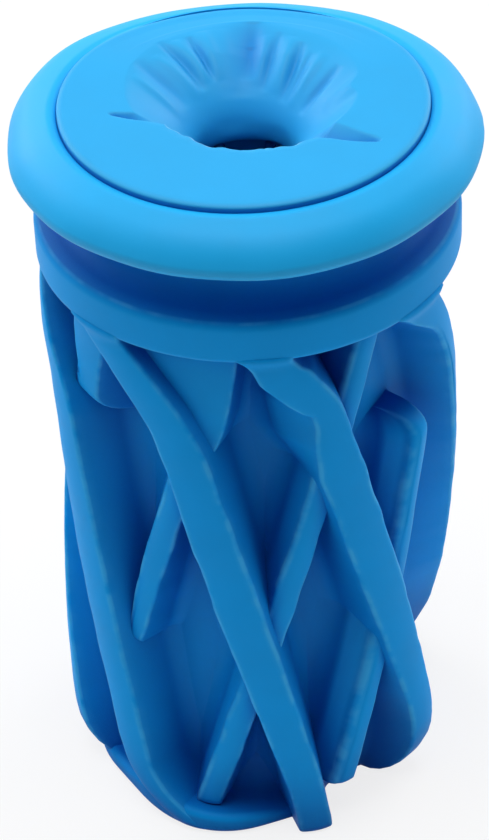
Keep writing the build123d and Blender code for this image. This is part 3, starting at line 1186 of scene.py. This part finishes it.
# ---------------------------------------------------------------------------------------------
# Turned parts of the cup
# ---------------------------------------------------------------------------------------------
@dataclass
class CupTurnings:
    """Shell, collar with its neck groove, rolled rim and curbs."""

    sizes: CupSizes
    wall: float = 3.0 * MM
    floor: float = 4.0 * MM
    neck: float = 33.5 * MM
    segments: int = 256
    curb_places: tuple[tuple[float, ...], ...] = (
        (-96.0, 31.0, 1.6, 5.0),
        (-80.0, 35.6, 2.8, 9.0),
        (-68.0, 36.8, 3.4, 11.0),
        (-52.0, 36.9, 4.0, 12.0),
        (-44.0, 38.0, 4.8, 14.0),
        (-36.0, 39.4, 5.4, 16.0),
        (-28.0, 40.4, 5.2, 16.0),
        (-21.0, 40.8, 4.8, 15.0),
        (-14.0, 40.4, 4.5, 14.0),
        (-6.0, 38.9, 4.0, 13.0),
        (1.0, 36.9, 3.2, 12.0),
        (7.0, 35.6, 2.4, 10.0),
        (15.0, 34.5, 1.8, 8.0),
    )  # azimuth, outer radius, height of the outer face, and height where it meets the wall
    curb_steps: int = 160
    curb_blend: float = 6.0  # degrees to each side over which the curb's sizes are averaged

    def shell(self) -> None:
        """Wall and floor, slightly uneven between the ribs."""
        s = self.sizes
        bore = s.core - self.wall
        middle = 0.4 * MM  # radius of the pinhole that the turned profile leaves in the floor
        heel = 3 * MM
        inner_heel = 2 * MM
        ribs_high = s.collar_low + 3 * MM
        profile = run((middle, 0.0), (s.core - heel, 0.0), 4 * MM)
        profile += arc((s.core - heel, heel), (heel, heel), -90, 0, 6)
        profile += run((s.core, 5 * MM), (s.core, ribs_high), 2.5 * MM)
        profile += run((s.core, ribs_high), (s.core, s.rim_low), 8 * MM)
        profile += run((s.core, s.rim_low), (bore, s.rim_low), 3 * MM)
        profile += run((bore, s.rim_low), (bore, self.floor + inner_heel), 5 * MM)
        profile += arc((bore - inner_heel, self.floor + inner_heel), (inner_heel, inner_heel), 0, -90, 4)
        profile += run((bore - 2.2 * MM, self.floor), (middle, self.floor), 4 * MM)
        profile += [(middle, self.floor)]

        def uneven(place: Vector) -> float:
            """Long low swells on the outer wall, under the collar.

            Args:
                place: A place on the shell.

            Returns:
                How far it stands out.
            """
            if math.hypot(place.x, place.y) < s.core - 0.1 * MM or place.z > s.collar_low:
                return 0.0
            stretched = Vector((place.x, place.y, place.z * 0.35))
            return swell(stretched, scale=55.0, depth=0.3 * MM) + 0.03 * MM

        mesh = ring_grid_mesh("cup_shell_skin", *revolve_profile(profile, self.segments, uneven))
        self._finish("cup_shell_skin", mesh, ["cup_shell"])

    def collar(self) -> None:
        """Band that the ribs hang from, and the hollow neck above it."""
        s = self.sizes
        inner = s.core - 0.2 * MM
        low_edge = 1.3 * MM
        crest = 2.2 * MM
        shelf = s.collar - 1.8 * MM
        top = s.rim_low + 0.3 * MM
        highlight_share = 0.6
        profile = run((inner, s.collar_low), (s.collar - low_edge, s.collar_low), 2 * MM)
        # points on the lower edge and on the crest carry a painted highlight line
        highlit_rings = list(range(len(profile) + 1, len(profile) + 4))
        profile += arc((s.collar - low_edge, s.collar_low + low_edge), (low_edge, low_edge), -90, 0, 5)
        profile += run((s.collar, s.collar_low + 1.9 * MM), (s.collar, s.collar_high - 2.4 * MM), 1.5 * MM)
        highlit_rings += [len(profile) + 5, len(profile) + 6]
        profile += arc((s.collar - crest, s.collar_high - crest), (crest, crest), 0, 62, 7)
        profile += arc((shelf, s.collar_high + 5.3 * MM), (shelf - self.neck, 5.2 * MM), 255, 180, 12)
        profile += run((self.neck, s.collar_high + 6.5 * MM), (self.neck, top), 1.5 * MM)
        profile += [(self.neck, top), (inner, top)]
        profile += run((inner, s.rim_low), (inner, s.collar_low + 4 * MM), 6 * MM)

        def uneven(place: Vector) -> float:
            """Soft swells on the band and the neck.

            Args:
                place: A place on the collar.

            Returns:
                How far it stands out.
            """
            if math.hypot(place.x, place.y) < self.neck - 1 * MM:
                return 0.0
            return swell(place, scale=40.0, depth=0.25 * MM) - 0.1 * MM

        points, edge_highlight = revolve_profile(profile, self.segments, uneven, highlit_rings)
        self._finish("collar_skin", ring_grid_mesh("collar_skin", points, edge_highlight * highlight_share), ["collar"])

    def rim(self) -> None:
        """Rolled rim with the recess that holds the mouth disc."""
        s = self.sizes
        recess = s.disc - 0.54 * MM
        bore = s.core - self.wall
        lip_high = s.rim_high - 0.95 * MM
        shoulder = (40.0 * MM, s.rim_high - 1.7 * MM)
        widest = (s.rim, s.rim_low + 2.6 * MM)
        heel = 1.6 * MM
        highlight_share = 0.7
        profile = run((bore, s.rim_low), (bore, s.disc_seat), 2 * MM)
        profile += run((bore, s.disc_seat), (recess, s.disc_seat), 3 * MM)
        profile += run((recess, s.disc_seat), (recess, lip_high), 0.7 * MM)
        profile += arc((recess + 1.5 * MM, lip_high), (1.5 * MM, 0.6 * MM), 180, 80, 8)
        profile += run((recess + 2.2 * MM, s.rim_high - 0.5 * MM), shoulder, 0.8 * MM)
        profile += tangent_arc(shoulder, widest, direction=(3.75, -1.7), steps=14)
        profile += arc((s.rim - heel, s.rim_low + 1.9 * MM), (heel, heel), 0, -45, 4)
        # the lower edge carries a painted highlight line
        edge_from = len(profile)
        profile += [(s.rim - 0.75 * MM, s.rim_low + 0.45 * MM), (s.rim - 1.05 * MM, s.rim_low + 0.15 * MM)]
        profile += run((s.rim - heel, s.rim_low), (bore + 1 * MM, s.rim_low), 2.5 * MM)
        points, edge_highlight = revolve_profile(profile, self.segments, highlit_rings=(edge_from, edge_from + 1))
        self._soften_rim(points)
        mesh = ring_grid_mesh("rim_skin", points, edge_highlight * highlight_share)
        self._finish("rim_skin", mesh, ["rim_flange"], RIM_FINISH)

    def _soften_rim(self, points: np.ndarray) -> None:
        """Give the rim its uneven outline and let its back sag with the mouth.

        Args:
            points: The rim's points, which are changed in place.
        """
        s = self.sizes
        radius = np.hypot(points[..., 0], points[..., 1]) / MM
        azimuth = np.degrees(np.arctan2(points[..., 0], -points[..., 1]))
        bulges = ((1.0, 128, 24), (-0.5, 180, 22))  # height, azimuth on both sides, and width
        stray = sum(high * np.exp(-(((np.abs(azimuth) - at) / wide) ** 2)) for high, at, wide in bulges)
        stray = stray + ripples(azimuth, ((0.18, 5, 30), (0.1, 13, 0)))
        shrink, widest = 0.28, 1.0
        outer = np.clip((radius - 36.5) / 8, 0, 1)
        grown = 1 + np.minimum(stray - shrink, widest) * outer / radius
        for axis in (0, 1):
            points[..., axis] = np.clip(points[..., axis] * grown, -s.rim, s.rim)
        upper = np.clip((points[..., 2] - s.rim_low) / (s.rim_high - s.rim_low), 0, 1)
        points[..., 2] -= back_sag(azimuth) * MM * upper * np.clip(radius - 35, 0, 1)

    def curbs(self) -> None:
        """Curb that leaves the left feet, flows along the base and dies out at the middle foot."""
        table = np.array(self.curb_places)
        points = []
        for azimuth in np.linspace(table[0, 0], table[-1, 0], self.curb_steps + 1):
            nearby = azimuth + np.linspace(-self.curb_blend, self.curb_blend, 13)
            out, tall, climb = (np.interp(nearby, table[:, 0], table[:, i]).mean() * MM for i in (1, 2, 3))
            section = self._curb_section(out, tall, climb)
            angle = math.radians(azimuth)
            points += [(r * math.sin(angle), -r * math.cos(angle), z) for r, z in section]
        mesh = bpy.data.meshes.new("base_curb_skin")
        mesh.from_pydata(points, [], tube_faces(self.curb_steps, len(section)))
        self._finish("base_curb_skin", mesh, ["base_curb_1", "base_curb_2"])

    def _curb_section(self, out: float, tall: float, climb: float) -> list[Point]:
        """Section of the curb: a rounded outer face, and a hollow slope up to the wall.

        Args:
            out: Radius of the outer face.
            tall: Height of the outer face.
            climb: Height where the slope meets the wall.

        Returns:
            (radius, height) points round the section.
        """
        core = self.sizes.core
        edge = min(1.5 * MM, tall * 0.45)
        back = core - 0.6 * MM
        section = [(back, 0.0)]
        section += [(core + (out - edge - core) * share, 0.0) for share in (0.25, 0.5, 0.75)]
        section += arc((out - edge, edge), (edge, edge), -90, 0, 5)
        section += arc((out - edge * 1.3, tall - edge), (edge * 1.2, edge), 0, 90, 5)
        guides = np.array(
            (
                (out - edge * 1.3, tall),
                (core + 0.45 * (out - core), tall - 0.5 * MM),
                (core + 0.4 * MM, tall + 0.2 * MM),
                (core + 0.02 * MM, climb),
            )
        )
        for share in np.linspace(0, 1, 13)[1:]:
            rest = 1 - share
            weights = (rest**3, 3 * rest * rest * share, 3 * rest * share * share, share**3)
            section.append(tuple(sum(weight * guide for weight, guide in zip(weights, guides))))
        return section + [(back, climb + 0.5 * MM)]

    def _finish(
        self,
        name: str,
        mesh: bpy.types.Mesh,
        nodes: Sequence[str],
        finish: SiliconeFinish = CUP_FINISH,
    ) -> None:
        """Turn the faces outwards, add the finish and tie the piece to the cup."""
        face_outwards(mesh)
        dress(link_mesh(name, mesh, finish.material()), Body.CUP, nodes)

    def build(self) -> None:
        """Build and dress every turned part of the cup."""
        self.shell()
        self.collar()
        self.rim()
        self.curbs()


# ---------------------------------------------------------------------------------------------
# Mouth insert
# ---------------------------------------------------------------------------------------------
@dataclass(frozen=True)
class Pleat:
    """Fold that runs down the slope towards the throat. Lengths are in millimetres."""

    azimuth: float
    width: float
    depth: float
    inner: float
    outer: float
    twist: float = 0.0

    def drop(self, radius: np.ndarray, azimuth: np.ndarray) -> np.ndarray:
        """Depth that the fold adds.

        Args:
            radius: Distances from the axis, in millimetres.
            azimuth: Directions, in degrees.

        Returns:
            The depth at each place, in millimetres.
        """
        middle = (self.inner + self.outer) / 2
        away = azimuth - self.azimuth - self.twist * (radius - middle)
        away = (away + 180) % 360 - 180
        across = np.radians(away) * radius / self.width
        along = np.clip((radius - self.inner) / (self.outer - self.inner), 0, 1)
        return self.depth * np.exp(-(across**2)) * np.sin(math.pi * along) ** 0.7


@dataclass(frozen=True)
class Crease:
    """Pocket behind an end of the front lip, where the disc folds under itself. Millimetres."""

    start: Point
    end: Point
    width: float
    depth: float
    end_depth: float
    end_fade: float
    narrowing: float

    def drop(self, x: np.ndarray, y: np.ndarray) -> np.ndarray:
        """Depth of the pocket, deepest right behind the lip.

        Args:
            x: Places across.
            y: Places along.

        Returns:
            The depth at each place.
        """
        run_x, run_y = self.end[0] - self.start[0], self.end[1] - self.start[1]
        from_x, from_y = x - self.start[0], y - self.start[1]
        length = math.hypot(run_x, run_y)
        along = (from_x * run_x + from_y * run_y) / length**2
        behind = (abs(run_x) * from_y - run_y * from_x * np.sign(run_x)) / length
        held = np.clip(along, 0, 1)
        depth = self.depth + (self.end_depth - self.depth) * held
        fade = np.clip((1 - along) * length / self.end_fade, 0, 1) * np.clip(1 + along * 1.4, 0, 1)
        width = self.width * (1 - self.narrowing * held)
        rise = np.clip(1 - np.maximum(behind, 0) / width, 0, 1)
        return depth * smooth(fade) * rise**1.15


class Part(Enum):
    """Parts of the disc's surface that its finish treats apart: the lip gets a painted highlight line, the
    slope painted shade in its folds.
    """

    PLAIN = "plain"
    LIP = "lip"
    SLOPE = "slope"


@dataclass(frozen=True)
class Ring:
    """One ring of the disc's points: its radius and height, even or one for each point."""

    radius: np.ndarray | float
    height: np.ndarray | float
    part: Part = Part.PLAIN


@dataclass
class Mouth:
    """Disc with the puckered funnel: a sharp front lip, and a long creased slope behind it.
    Its sizes are in millimetres and its azimuths in degrees from the front."""

    sizes: CupSizes
    depth: float = 14.0
    throat: float = 9.5
    funnel: float = 22.5
    funnel_shift: float = 6.0
    lip_end: float = 2.0
    wall: float = 2.3
    segments: int = 420
    fit: float = 0.6  # play between the disc and its recess
    under_play: float = 1.8  # how far the underside's flat ring stands inside the liner
    edge: Point = (1.4, 0.65)  # width and drop of the disc's rounded edge
    shallow: float = 3.1  # greatest depth outside the funnel
    shallow_from: float = 20.0
    shallow_blend: float = 2.5
    crease_fade: float = 6.0  # depth over the throat at which creases begin to die out
    halvings: int = 24
    shift_power: float = 4.9
    slope_ease: float = 0.5
    # these three set how strongly painted shade darkens the mouth's folds
    crease_for_full_shade: float = 3.2  # depth of a crease that gets the full painted shade
    pleat_for_full_shade: float = 2.6
    most_fold_shade: float = 0.9
    lip_ripples: tuple[tuple[float, float, float], ...] = ((0.22, 13, 40), (0.12, 29, 0))
    throat_ripples: tuple[tuple[float, float, float], ...] = ((0.03, 3, 50),)
    front_middle: float = -12.0
    front_half: float = 68.0
    front_fade: float = 6.0
    lip_places: tuple[Point, ...] = (
        (-180, 29.0), (-150, 28.5), (-125, 28.0), (-104, 27.5), (-88, 26.6), (-81, 25.0), (-76, 21.6),
        (-71, 18.6), (-63, 16.5), (-50, 15.6), (-40, 15.8), (-28, 16.3), (-13, 16.3), (-3, 16.9),
        (8, 16.6), (17, 17.4), (24, 17.5), (30, 18.0), (38, 18.0), (44, 19.0), (48, 21.1), (51, 23.6),
        (54, 26.4), (57, 29.2), (62, 29.8), (90, 29.5), (135, 29.0), (180, 29.0),
    )  # azimuth and radius of the edge of the funnel
    creases: tuple[Crease, ...] = (
        Crease((-15.0, -7.4), (-26.0, -3.8), 4.4, 3.2, 2.2, 2.0, 0.75),
        Crease((13.0, -13.4), (25.6, -16.8), 6.6, 3.3, 3.0, 2.6, 0.8),
    )
    pleats: tuple[Pleat, ...] = (
        Pleat(177, 4.6, 0.9, 12, 29),
        Pleat(175, 1.6, 0.8, 15, 29.5),
        Pleat(-172, 1.6, -0.4, 13, 27),
        Pleat(-146, 0.8, 0.8, 14, 27, 0.3),
        Pleat(-158, 0.7, 0.9, 15, 26, 0.2),
        Pleat(-152, 1.3, -0.6, 15, 26, 0.3),
        Pleat(-164, 1.5, -0.7, 15, 27),
        Pleat(-138, 1.2, -0.5, 13, 24, 0.4),
        Pleat(163, 0.9, 0.7, 13, 26),
        Pleat(168, 1.3, -0.5, 14, 25),
        Pleat(147, 0.9, 0.9, 12, 24, 0.6),
        Pleat(154, 1.3, -0.6, 13, 25, 0.4),
        Pleat(120, 1.0, 0.9, 12, 22, 0.6),
        Pleat(134, 1.2, -0.6, 12, 23, 0.5),
        Pleat(140, 0.7, 0.5, 12, 22, 0.5),
        Pleat(-126, 1.4, 0.7, 13, 25),
        Pleat(-114, 1.2, -0.5, 12, 23, -0.4),
        Pleat(100, 2.2, -0.9, 15, 26, 0.8),
    )

    def lip_radius(self, azimuth: np.ndarray) -> np.ndarray:
        """Radius of the funnel's edge, rippled along the front lip.

        Args:
            azimuth: Directions.

        Returns:
            The radii.
        """
        table = np.array(self.lip_places)
        fine = np.interp(azimuth, table[:, 0], table[:, 1])
        return fine + ripples(azimuth, self.lip_ripples) * (np.abs(azimuth + 10) < 60)

    def throat_radius(self, azimuth: np.ndarray) -> np.ndarray:
        """Radius of the throat, slightly uneven all round."""
        return np.full_like(azimuth, self.throat) * (1 + ripples(azimuth, self.throat_ripples))

    def base_drop(self, x: np.ndarray, y: np.ndarray) -> np.ndarray:
        """Depth of the plain funnel, found by halving.

        Args:
            x: Places across.
            y: Places along.

        Returns:
            The depths, eased where the slope begins.
        """
        low = np.zeros_like(x)
        high = np.full_like(x, self.depth)
        for _ in range(self.halvings):
            middle = (low + high) / 2
            share = 1 - middle / self.depth
            circle = self.throat + (self.funnel - self.throat) * share**2
            inside = np.hypot(x, y - self.funnel_shift * share**self.shift_power) < circle
            low = np.where(inside, middle, low)
            high = np.where(inside, high, middle)
        return low * low / (low + self.slope_ease)

    def surface(self, radius: np.ndarray, azimuth: np.ndarray) -> np.ndarray:
        """Depth of the upper surface under the flat disc.

        Args:
            radius: Distances from the axis.
            azimuth: Directions.

        Returns:
            The depths.
        """
        x, y = across_plan(radius, azimuth)
        drop = self.base_drop(x, y)
        for crease in self.creases:
            drop = drop + crease.drop(x, y) * np.clip((self.depth - drop) / self.crease_fade, 0, 1)
        for pleat in self.pleats:
            drop = drop + pleat.drop(radius, azimuth)
        shallow = self.shallow - back_sag(azimuth) * sag_share(radius)
        outside = np.clip((radius - self.shallow_from) / self.shallow_blend, 0, 1)
        deepest = self.depth + (shallow - self.depth) * outside
        beyond = drop - deepest
        drop = drop - (beyond + np.sqrt(beyond**2 + 0.1)) / 2
        return np.clip(drop, 0, self.depth)

    def folds(self, radius: np.ndarray, azimuth: np.ndarray) -> np.ndarray:
        """Painted shade: how deep in a fold or crease a place lies, which darkens its colour.

        Args:
            radius: Distances from the axis.
            azimuth: Directions.

        Returns:
            Shares of painted shade, from 0 on the plain slope to the largest share at the bottom of a fold.
        """
        x, y = across_plan(radius, azimuth)
        creased = sum(crease.drop(x, y) for crease in self.creases) / self.crease_for_full_shade
        pleated = sum(np.maximum(pleat.drop(radius, azimuth), 0) for pleat in self.pleats) / self.pleat_for_full_shade
        return np.clip(creased + pleated, 0, self.most_fold_shade)

    def _top_rings(self, azimuth: np.ndarray, front: np.ndarray) -> list[Ring]:
        """Rings over the disc's edge, its flat and its lip, and down the slope.

        Args:
            azimuth: Direction of each of a ring's points.
            front: 1 at the front lip and 0 round the rest.

        Returns:
            The rings, from the seat of the disc's edge to the throat.
        """
        s = self.sizes
        top, seat, disc = s.top / MM, s.disc_seat / MM, s.disc / MM - self.fit
        width, drop = self.edge
        lip = self.lip_radius(azimuth)
        throat = self.throat_radius(azimuth)
        sag = back_sag(azimuth)
        rings = [Ring(disc, seat), Ring(disc, top - drop - 0.6 - sag)]
        rings += [Ring(out, up - sag) for out, up in arc((disc - width, top - drop), self.edge, 0, 90, 7)]
        for share in np.linspace(0, 1, 14)[1:]:
            radius = (disc - width) + (lip + 0.35 - disc + width) * share
            rings.append(Ring(radius, top - sag * sag_share(radius)))
        # the lip's rings carry a painted highlight line along the front
        rings.append(Ring(lip + 0.3, top - 0.03 * front - sag * sag_share(lip + 0.1), Part.LIP))
        rings.append(Ring(lip, top - 0.22 * front - sag * sag_share(lip), Part.LIP))
        for share in np.linspace(0, 1, 64) ** 1.1:
            radius = lip - 0.25 + (throat - lip + 0.25) * share
            depth = np.maximum(self.surface(radius, azimuth), 0.3 * (1 - share) * front)
            rings.append(Ring(radius, top - depth - sag * sag_share(radius), Part.SLOPE))
        return rings

    def _under_rings(self, azimuth: np.ndarray) -> list[Ring]:
        """Rings round the throat's lower lip and back out under the slope.

        Args:
            azimuth: Direction of each of a ring's points.

        Returns:
            The rings, from the throat to the disc's flat underside.
        """
        s = self.sizes
        top, seat, disc = s.top / MM, s.disc_seat / MM, s.disc / MM - self.fit
        flat_from = s.liner / MM - self.under_play
        throat = self.throat_radius(azimuth)
        low = top - self.depth
        lip_end = ((0.05, 0.6), (0.3, 1.4), (1.0, self.lip_end), (1.8, self.lip_end))
        rings = [Ring(throat + out, low - down) for out, down in lip_end]
        for share in np.linspace(0, 1, 26):
            radius = throat + self.wall + (flat_from - throat - self.wall) * share
            depth = self.surface(radius - 1.1, azimuth) * 0.9 + self.wall * 0.9
            rings.append(Ring(radius, np.minimum(seat, top - depth) if share < 1 else seat))
        return rings + [Ring((flat_from + disc) / 2, seat)]

    def build(self) -> None:
        """Build and dress the disc."""
        azimuth = 360.0 * np.arange(self.segments) / self.segments - 180.0
        from_middle = np.abs(azimuth - self.front_middle)
        front = np.clip((self.front_half - from_middle) / self.front_fade, 0, 1)
        rings = self._top_rings(azimuth, front) + self._under_rings(azimuth)
        shape = (len(rings), self.segments)
        points, edge_highlight, folds = np.zeros((*shape, 3)), np.zeros(shape), np.zeros(shape)
        for row, ring in enumerate(rings):
            radius = np.broadcast_to(ring.radius, azimuth.shape)
            points[row, :, 0], points[row, :, 1] = across_plan(radius, azimuth)
            points[row, :, 2] = ring.height
            # lip rings get the painted highlight at the front, slope rings the painted fold shade
            if ring.part is Part.LIP:
                edge_highlight[row] = front
            elif ring.part is Part.SLOPE:
                folds[row] = self.folds(radius, azimuth)
        mesh = ring_grid_mesh("mouth_disc_skin", points * MM, edge_highlight)
        # the fold mask paints shade into the mouth's colour
        mark_points(mesh, FOLD_SHADE_ATTRIBUTE, folds)
        face_outwards(mesh)
        piece = link_mesh("mouth_disc_skin", mesh, MOUTH_FINISH.material())
        dress(piece, Body.INSERT, ["mouth_disc"])


@dataclass
class Liner:
    """Open tube under the disc, with a bead at its lower end."""

    sizes: CupSizes
    wall: float = 1.8 * MM
    segments: int = 192

    def build(self) -> None:
        """Build and dress the tube."""
        s = self.sizes
        bead = self.wall / 2
        inner = s.liner - self.wall
        low = s.liner_low + 1.5 * MM
        profile = arc((s.liner - bead, s.liner_low + bead), (bead, bead), -180, 0, 8)
        profile += run((s.liner, low), (s.liner, s.disc_seat), 6 * MM)
        profile += [(s.liner, s.disc_seat), (inner, s.disc_seat)]
        profile += run((inner, s.disc_seat - 2 * MM), (inner, low), 6 * MM)

        def uneven(place: Vector) -> float:
            """Faint swells all over."""
            return swell(place, scale=30.0, depth=0.06 * MM) - 0.03 * MM

        mesh = ring_grid_mesh("liner_skin", *revolve_profile(profile, self.segments, uneven))
        face_outwards(mesh)
        dress(link_mesh("liner_skin", mesh, LINER_FINISH.material()), Body.INSERT, ["liner"])


def build_bristle_tree() -> bpy.types.NodeTree:
    """Tree that sets one tapered bristle, pointing inwards, on each point of a band of the liner.

    Returns:
        A geometry node tree with named inputs for the bristle's sizes.
    """
    sizes = {"Length": 0.0088, "Root Radius": 0.0011, "Tip Radius": 0.0005}
    inputs = {"Geometry": "Geometry", **sizes, "Finish": "Material"}
    graph = NodeGraph.group("bristle_band", "Geometry", inputs, {"Geometry": "Geometry"})
    source = graph.node("NodeGroupInput")
    given = source.outputs
    cone_inputs = {"Vertices": 10, "Side Segments": 5, "Depth": given["Length"]}
    cone_inputs |= {"Radius Bottom": given["Root Radius"], "Radius Top": given["Tip Radius"]}
    cone = graph.node("GeometryNodeMeshCone", cone_inputs)
    position = graph.node("GeometryNodeInputPosition").outputs[0]
    inward = {0: position, 1: (-1.0, -1.0, 0.0)}
    flat = graph.value("ShaderNodeVectorMath", 0, inward, operation="MULTIPLY")
    aim = graph.value("FunctionNodeAlignRotationToVector", 0, {"Vector": flat}, axis="Z")
    tilt = 0.09
    tilts = {"Min": (-tilt, -tilt, 0.0), "Max": (tilt, tilt, 0.0), "Seed": 5}
    wobble = graph.value("FunctionNodeRandomValue", 0, tilts, data_type="FLOAT_VECTOR")
    turn = graph.value("FunctionNodeRotateRotation", 0, {0: aim, 1: wobble}, rotation_space="LOCAL")
    spread = {"Points": given["Geometry"], "Instance": cone.outputs["Mesh"], "Rotation": turn}
    finish_tree(graph, source, graph.node("GeometryNodeInstanceOnPoints", spread))
    return graph.tree


@dataclass
class Bristles:
    """Eight bands of soft bristles on the liner's inner wall."""

    sizes: CupSizes
    bands: int = 8
    rows: int = 2
    in_row: int = 14
    margin: float = 9.0 * MM
    disc_depth: float = 16.0 * MM
    sunk: float = 0.3 * MM
    wall: float = 1.8 * MM

    def build(self) -> None:
        """Build and dress every band."""
        s = self.sizes
        tree = build_bristle_tree()
        root = s.liner - self.wall + self.sunk
        lowest = s.liner_low + self.margin
        highest = s.top - self.disc_depth - self.margin
        spacing = (highest - lowest) / (self.bands * self.rows - 1)
        for band in range(self.bands):
            points = []
            for row in range(band * self.rows, (band + 1) * self.rows):
                for index in range(self.in_row):
                    azimuth = TURN * (index + 0.5 * (row % 2)) / self.in_row
                    height = lowest + row * spacing
                    points.append((root * math.sin(azimuth), -root * math.cos(azimuth), height))
            base = bpy.data.meshes.new("bristle_points")
            base.from_pydata(points, [], [])
            name = f"bristle_band_{band + 1}"
            piece = bake_tree(name + "_skin", base, tree, {}, BRISTLE_FINISH)
            dress(piece, Body.INSERT, [name])


# ---------------------------------------------------------------------------------------------
# Studio
# ---------------------------------------------------------------------------------------------
@dataclass
class Studio:
    """Pale floor, white surroundings, soft lamps and the camera."""

    sizes: CupSizes
    distance: float = 0.7018
    elevation: float = 38.54
    roll: float = 2.12
    aim_height: float = 0.075
    lens: float = 150.0
    aside: tuple[float, float] = (0.00311, 0.00237)  # slope of the line of sight to the left and up
    fill: float = 0.02
    white_share: float = 0.8
    floor_half: float = 1.6
    floor_tone: float = 0.93
    floor_roughness: float = 0.9
    lamps: tuple[tuple[str, tuple[float, float, float], float, float], ...] = (
        ("overhead_lamp", (0.0, 0.0, 1.35), 1.0, 13.6),
        ("left_lamp", (-0.9, -0.1, 0.9), 0.7, 2.6),
        ("right_lamp", (1.2, -0.1, 0.35), 0.7, 1.6),
        ("back_left_lamp", (-0.8, 0.8, 0.6), 0.7, 7.1),
        ("back_right_lamp", (0.8, 0.8, 0.6), 0.7, 5.9),
    )  # name, place, side in metres and watts

    def camera(self) -> None:
        """Camera above the front, turned slightly about its line of sight."""
        angle, roll = math.radians(self.elevation), math.radians(self.roll)
        back = Vector((0.0, -math.cos(angle), math.sin(angle)))
        right = Vector((1.0, 0.0, 0.0))
        up = Vector((0.0, math.sin(angle), math.cos(angle)))
        rolled_up = up * math.cos(roll) + right * math.sin(roll)
        rolled_right = right * math.cos(roll) - up * math.sin(roll)
        target = Vector((0.0, 0.0, self.aim_height))
        eye = target + back * self.distance
        aim = target + (rolled_up * self.aside[1] - rolled_right * self.aside[0]) * self.distance
        away = (eye - aim).normalized()
        side = rolled_up.cross(away).normalized()
        turned = Matrix((side, away.cross(side), away)).transposed().to_4x4()
        data = bpy.data.cameras.new("camera")
        data.lens = self.lens
        data.sensor_width = 36.0
        data.clip_start = 0.01
        holder = put("camera", data)
        holder.matrix_world = Matrix.Translation(eye) @ turned
        bpy.context.scene.camera = holder

    def lamp(self, name: str, place: tuple[float, float, float], size: float, power: float) -> None:
        """Square soft lamp that points at the cup.

        Args:
            name: Name of the lamp.
            place: Where it stands.
            size: Length of its side, in metres.
            power: Watts.
        """
        data = bpy.data.lights.new(name, "AREA")
        data.size = size
        data.energy = power
        back = Vector(place) - Vector((0.0, 0.0, self.aim_height))
        turned = back.to_track_quat("Z", "Y").to_matrix().to_4x4()
        put(name, data).matrix_world = Matrix.Translation(place) @ turned

    def floor(self) -> None:
        """Wide pale floor that shows white to the camera but keeps the cup's shadow."""
        half = self.floor_half
        corners = [(-half, -half, 0), (half, -half, 0), (half, half, 0), (-half, half, 0)]
        mesh = bpy.data.meshes.new("floor")
        mesh.from_pydata(corners, [], [(0, 1, 2, 3)])
        material = bpy.data.materials.new("floor_white")
        material.use_nodes = True
        graph = NodeGraph(material.node_tree)
        shader = graph.tree.nodes["Principled BSDF"]
        graph.fill(shader.inputs["Base Color"], (*[self.floor_tone] * 3, 1.0))
        graph.fill(shader.inputs["Roughness"], self.floor_roughness)
        white = graph.node("ShaderNodeEmission").outputs[0]
        share = self._seen(graph) * self.white_share
        mix = graph.node("ShaderNodeMixShader", {"Fac": share, 1: shader.outputs[0], 2: white})
        graph.fill(graph.tree.nodes["Material Output"].inputs["Surface"], mix.outputs[0])
        mesh.materials.append(material)
        piece = put("floor", mesh)

    def _seen(self, graph: NodeGraph) -> NodeValue:
        """Value that is 1 where the camera looks, straight or by a reflection, and 0 for a lamp's light.

        Args:
            graph: The nodes to add it to.

        Returns:
            The value.
        """
        path = graph.node("ShaderNodeLightPath").outputs
        seen = NodeValue(graph, path["Is Camera Ray"])
        for name in ("Is Glossy Ray", "Is Transmission Ray"):
            seen = seen.math("MAXIMUM", NodeValue(graph, path[name]))
        return seen

    def world(self) -> None:
        """White surroundings where they are seen, and a faint fill as a light."""
        world = bpy.data.worlds.new("surroundings")
        world.use_nodes = True
        bpy.context.scene.world = world
        graph = NodeGraph(world.node_tree)
        background = graph.tree.nodes["Background"]
        graph.fill(background.inputs["Color"], (1.0, 1.0, 1.0, 1.0))
        graph.fill(background.inputs["Strength"], self._seen(graph).math("MAXIMUM", self.fill))

    def build(self) -> None:
        """Set up the whole studio."""
        self.camera()
        self.floor()
        self.world()
        for name, place, size, power in self.lamps:
            self.lamp(name, place, size, power)
        bpy.context.scene.view_settings.view_transform = "Standard"


def main() -> None:
    """Build the whole cup and its studio."""
    logging.basicConfig(level=logging.INFO, format="%(message)s")
    sizes = CupSizes.from_frame()
    tree = RibTree()
    CupTurnings(sizes).build()
    LongRibs(sizes, tree).build()
    CrossRibs(sizes, tree).build()
    Mouth(sizes).build()
    Liner(sizes).build()
    Bristles(sizes).build()
    Studio(sizes).build()
    bpy.context.view_layer.update()


if __name__ == "__main__":
    main()
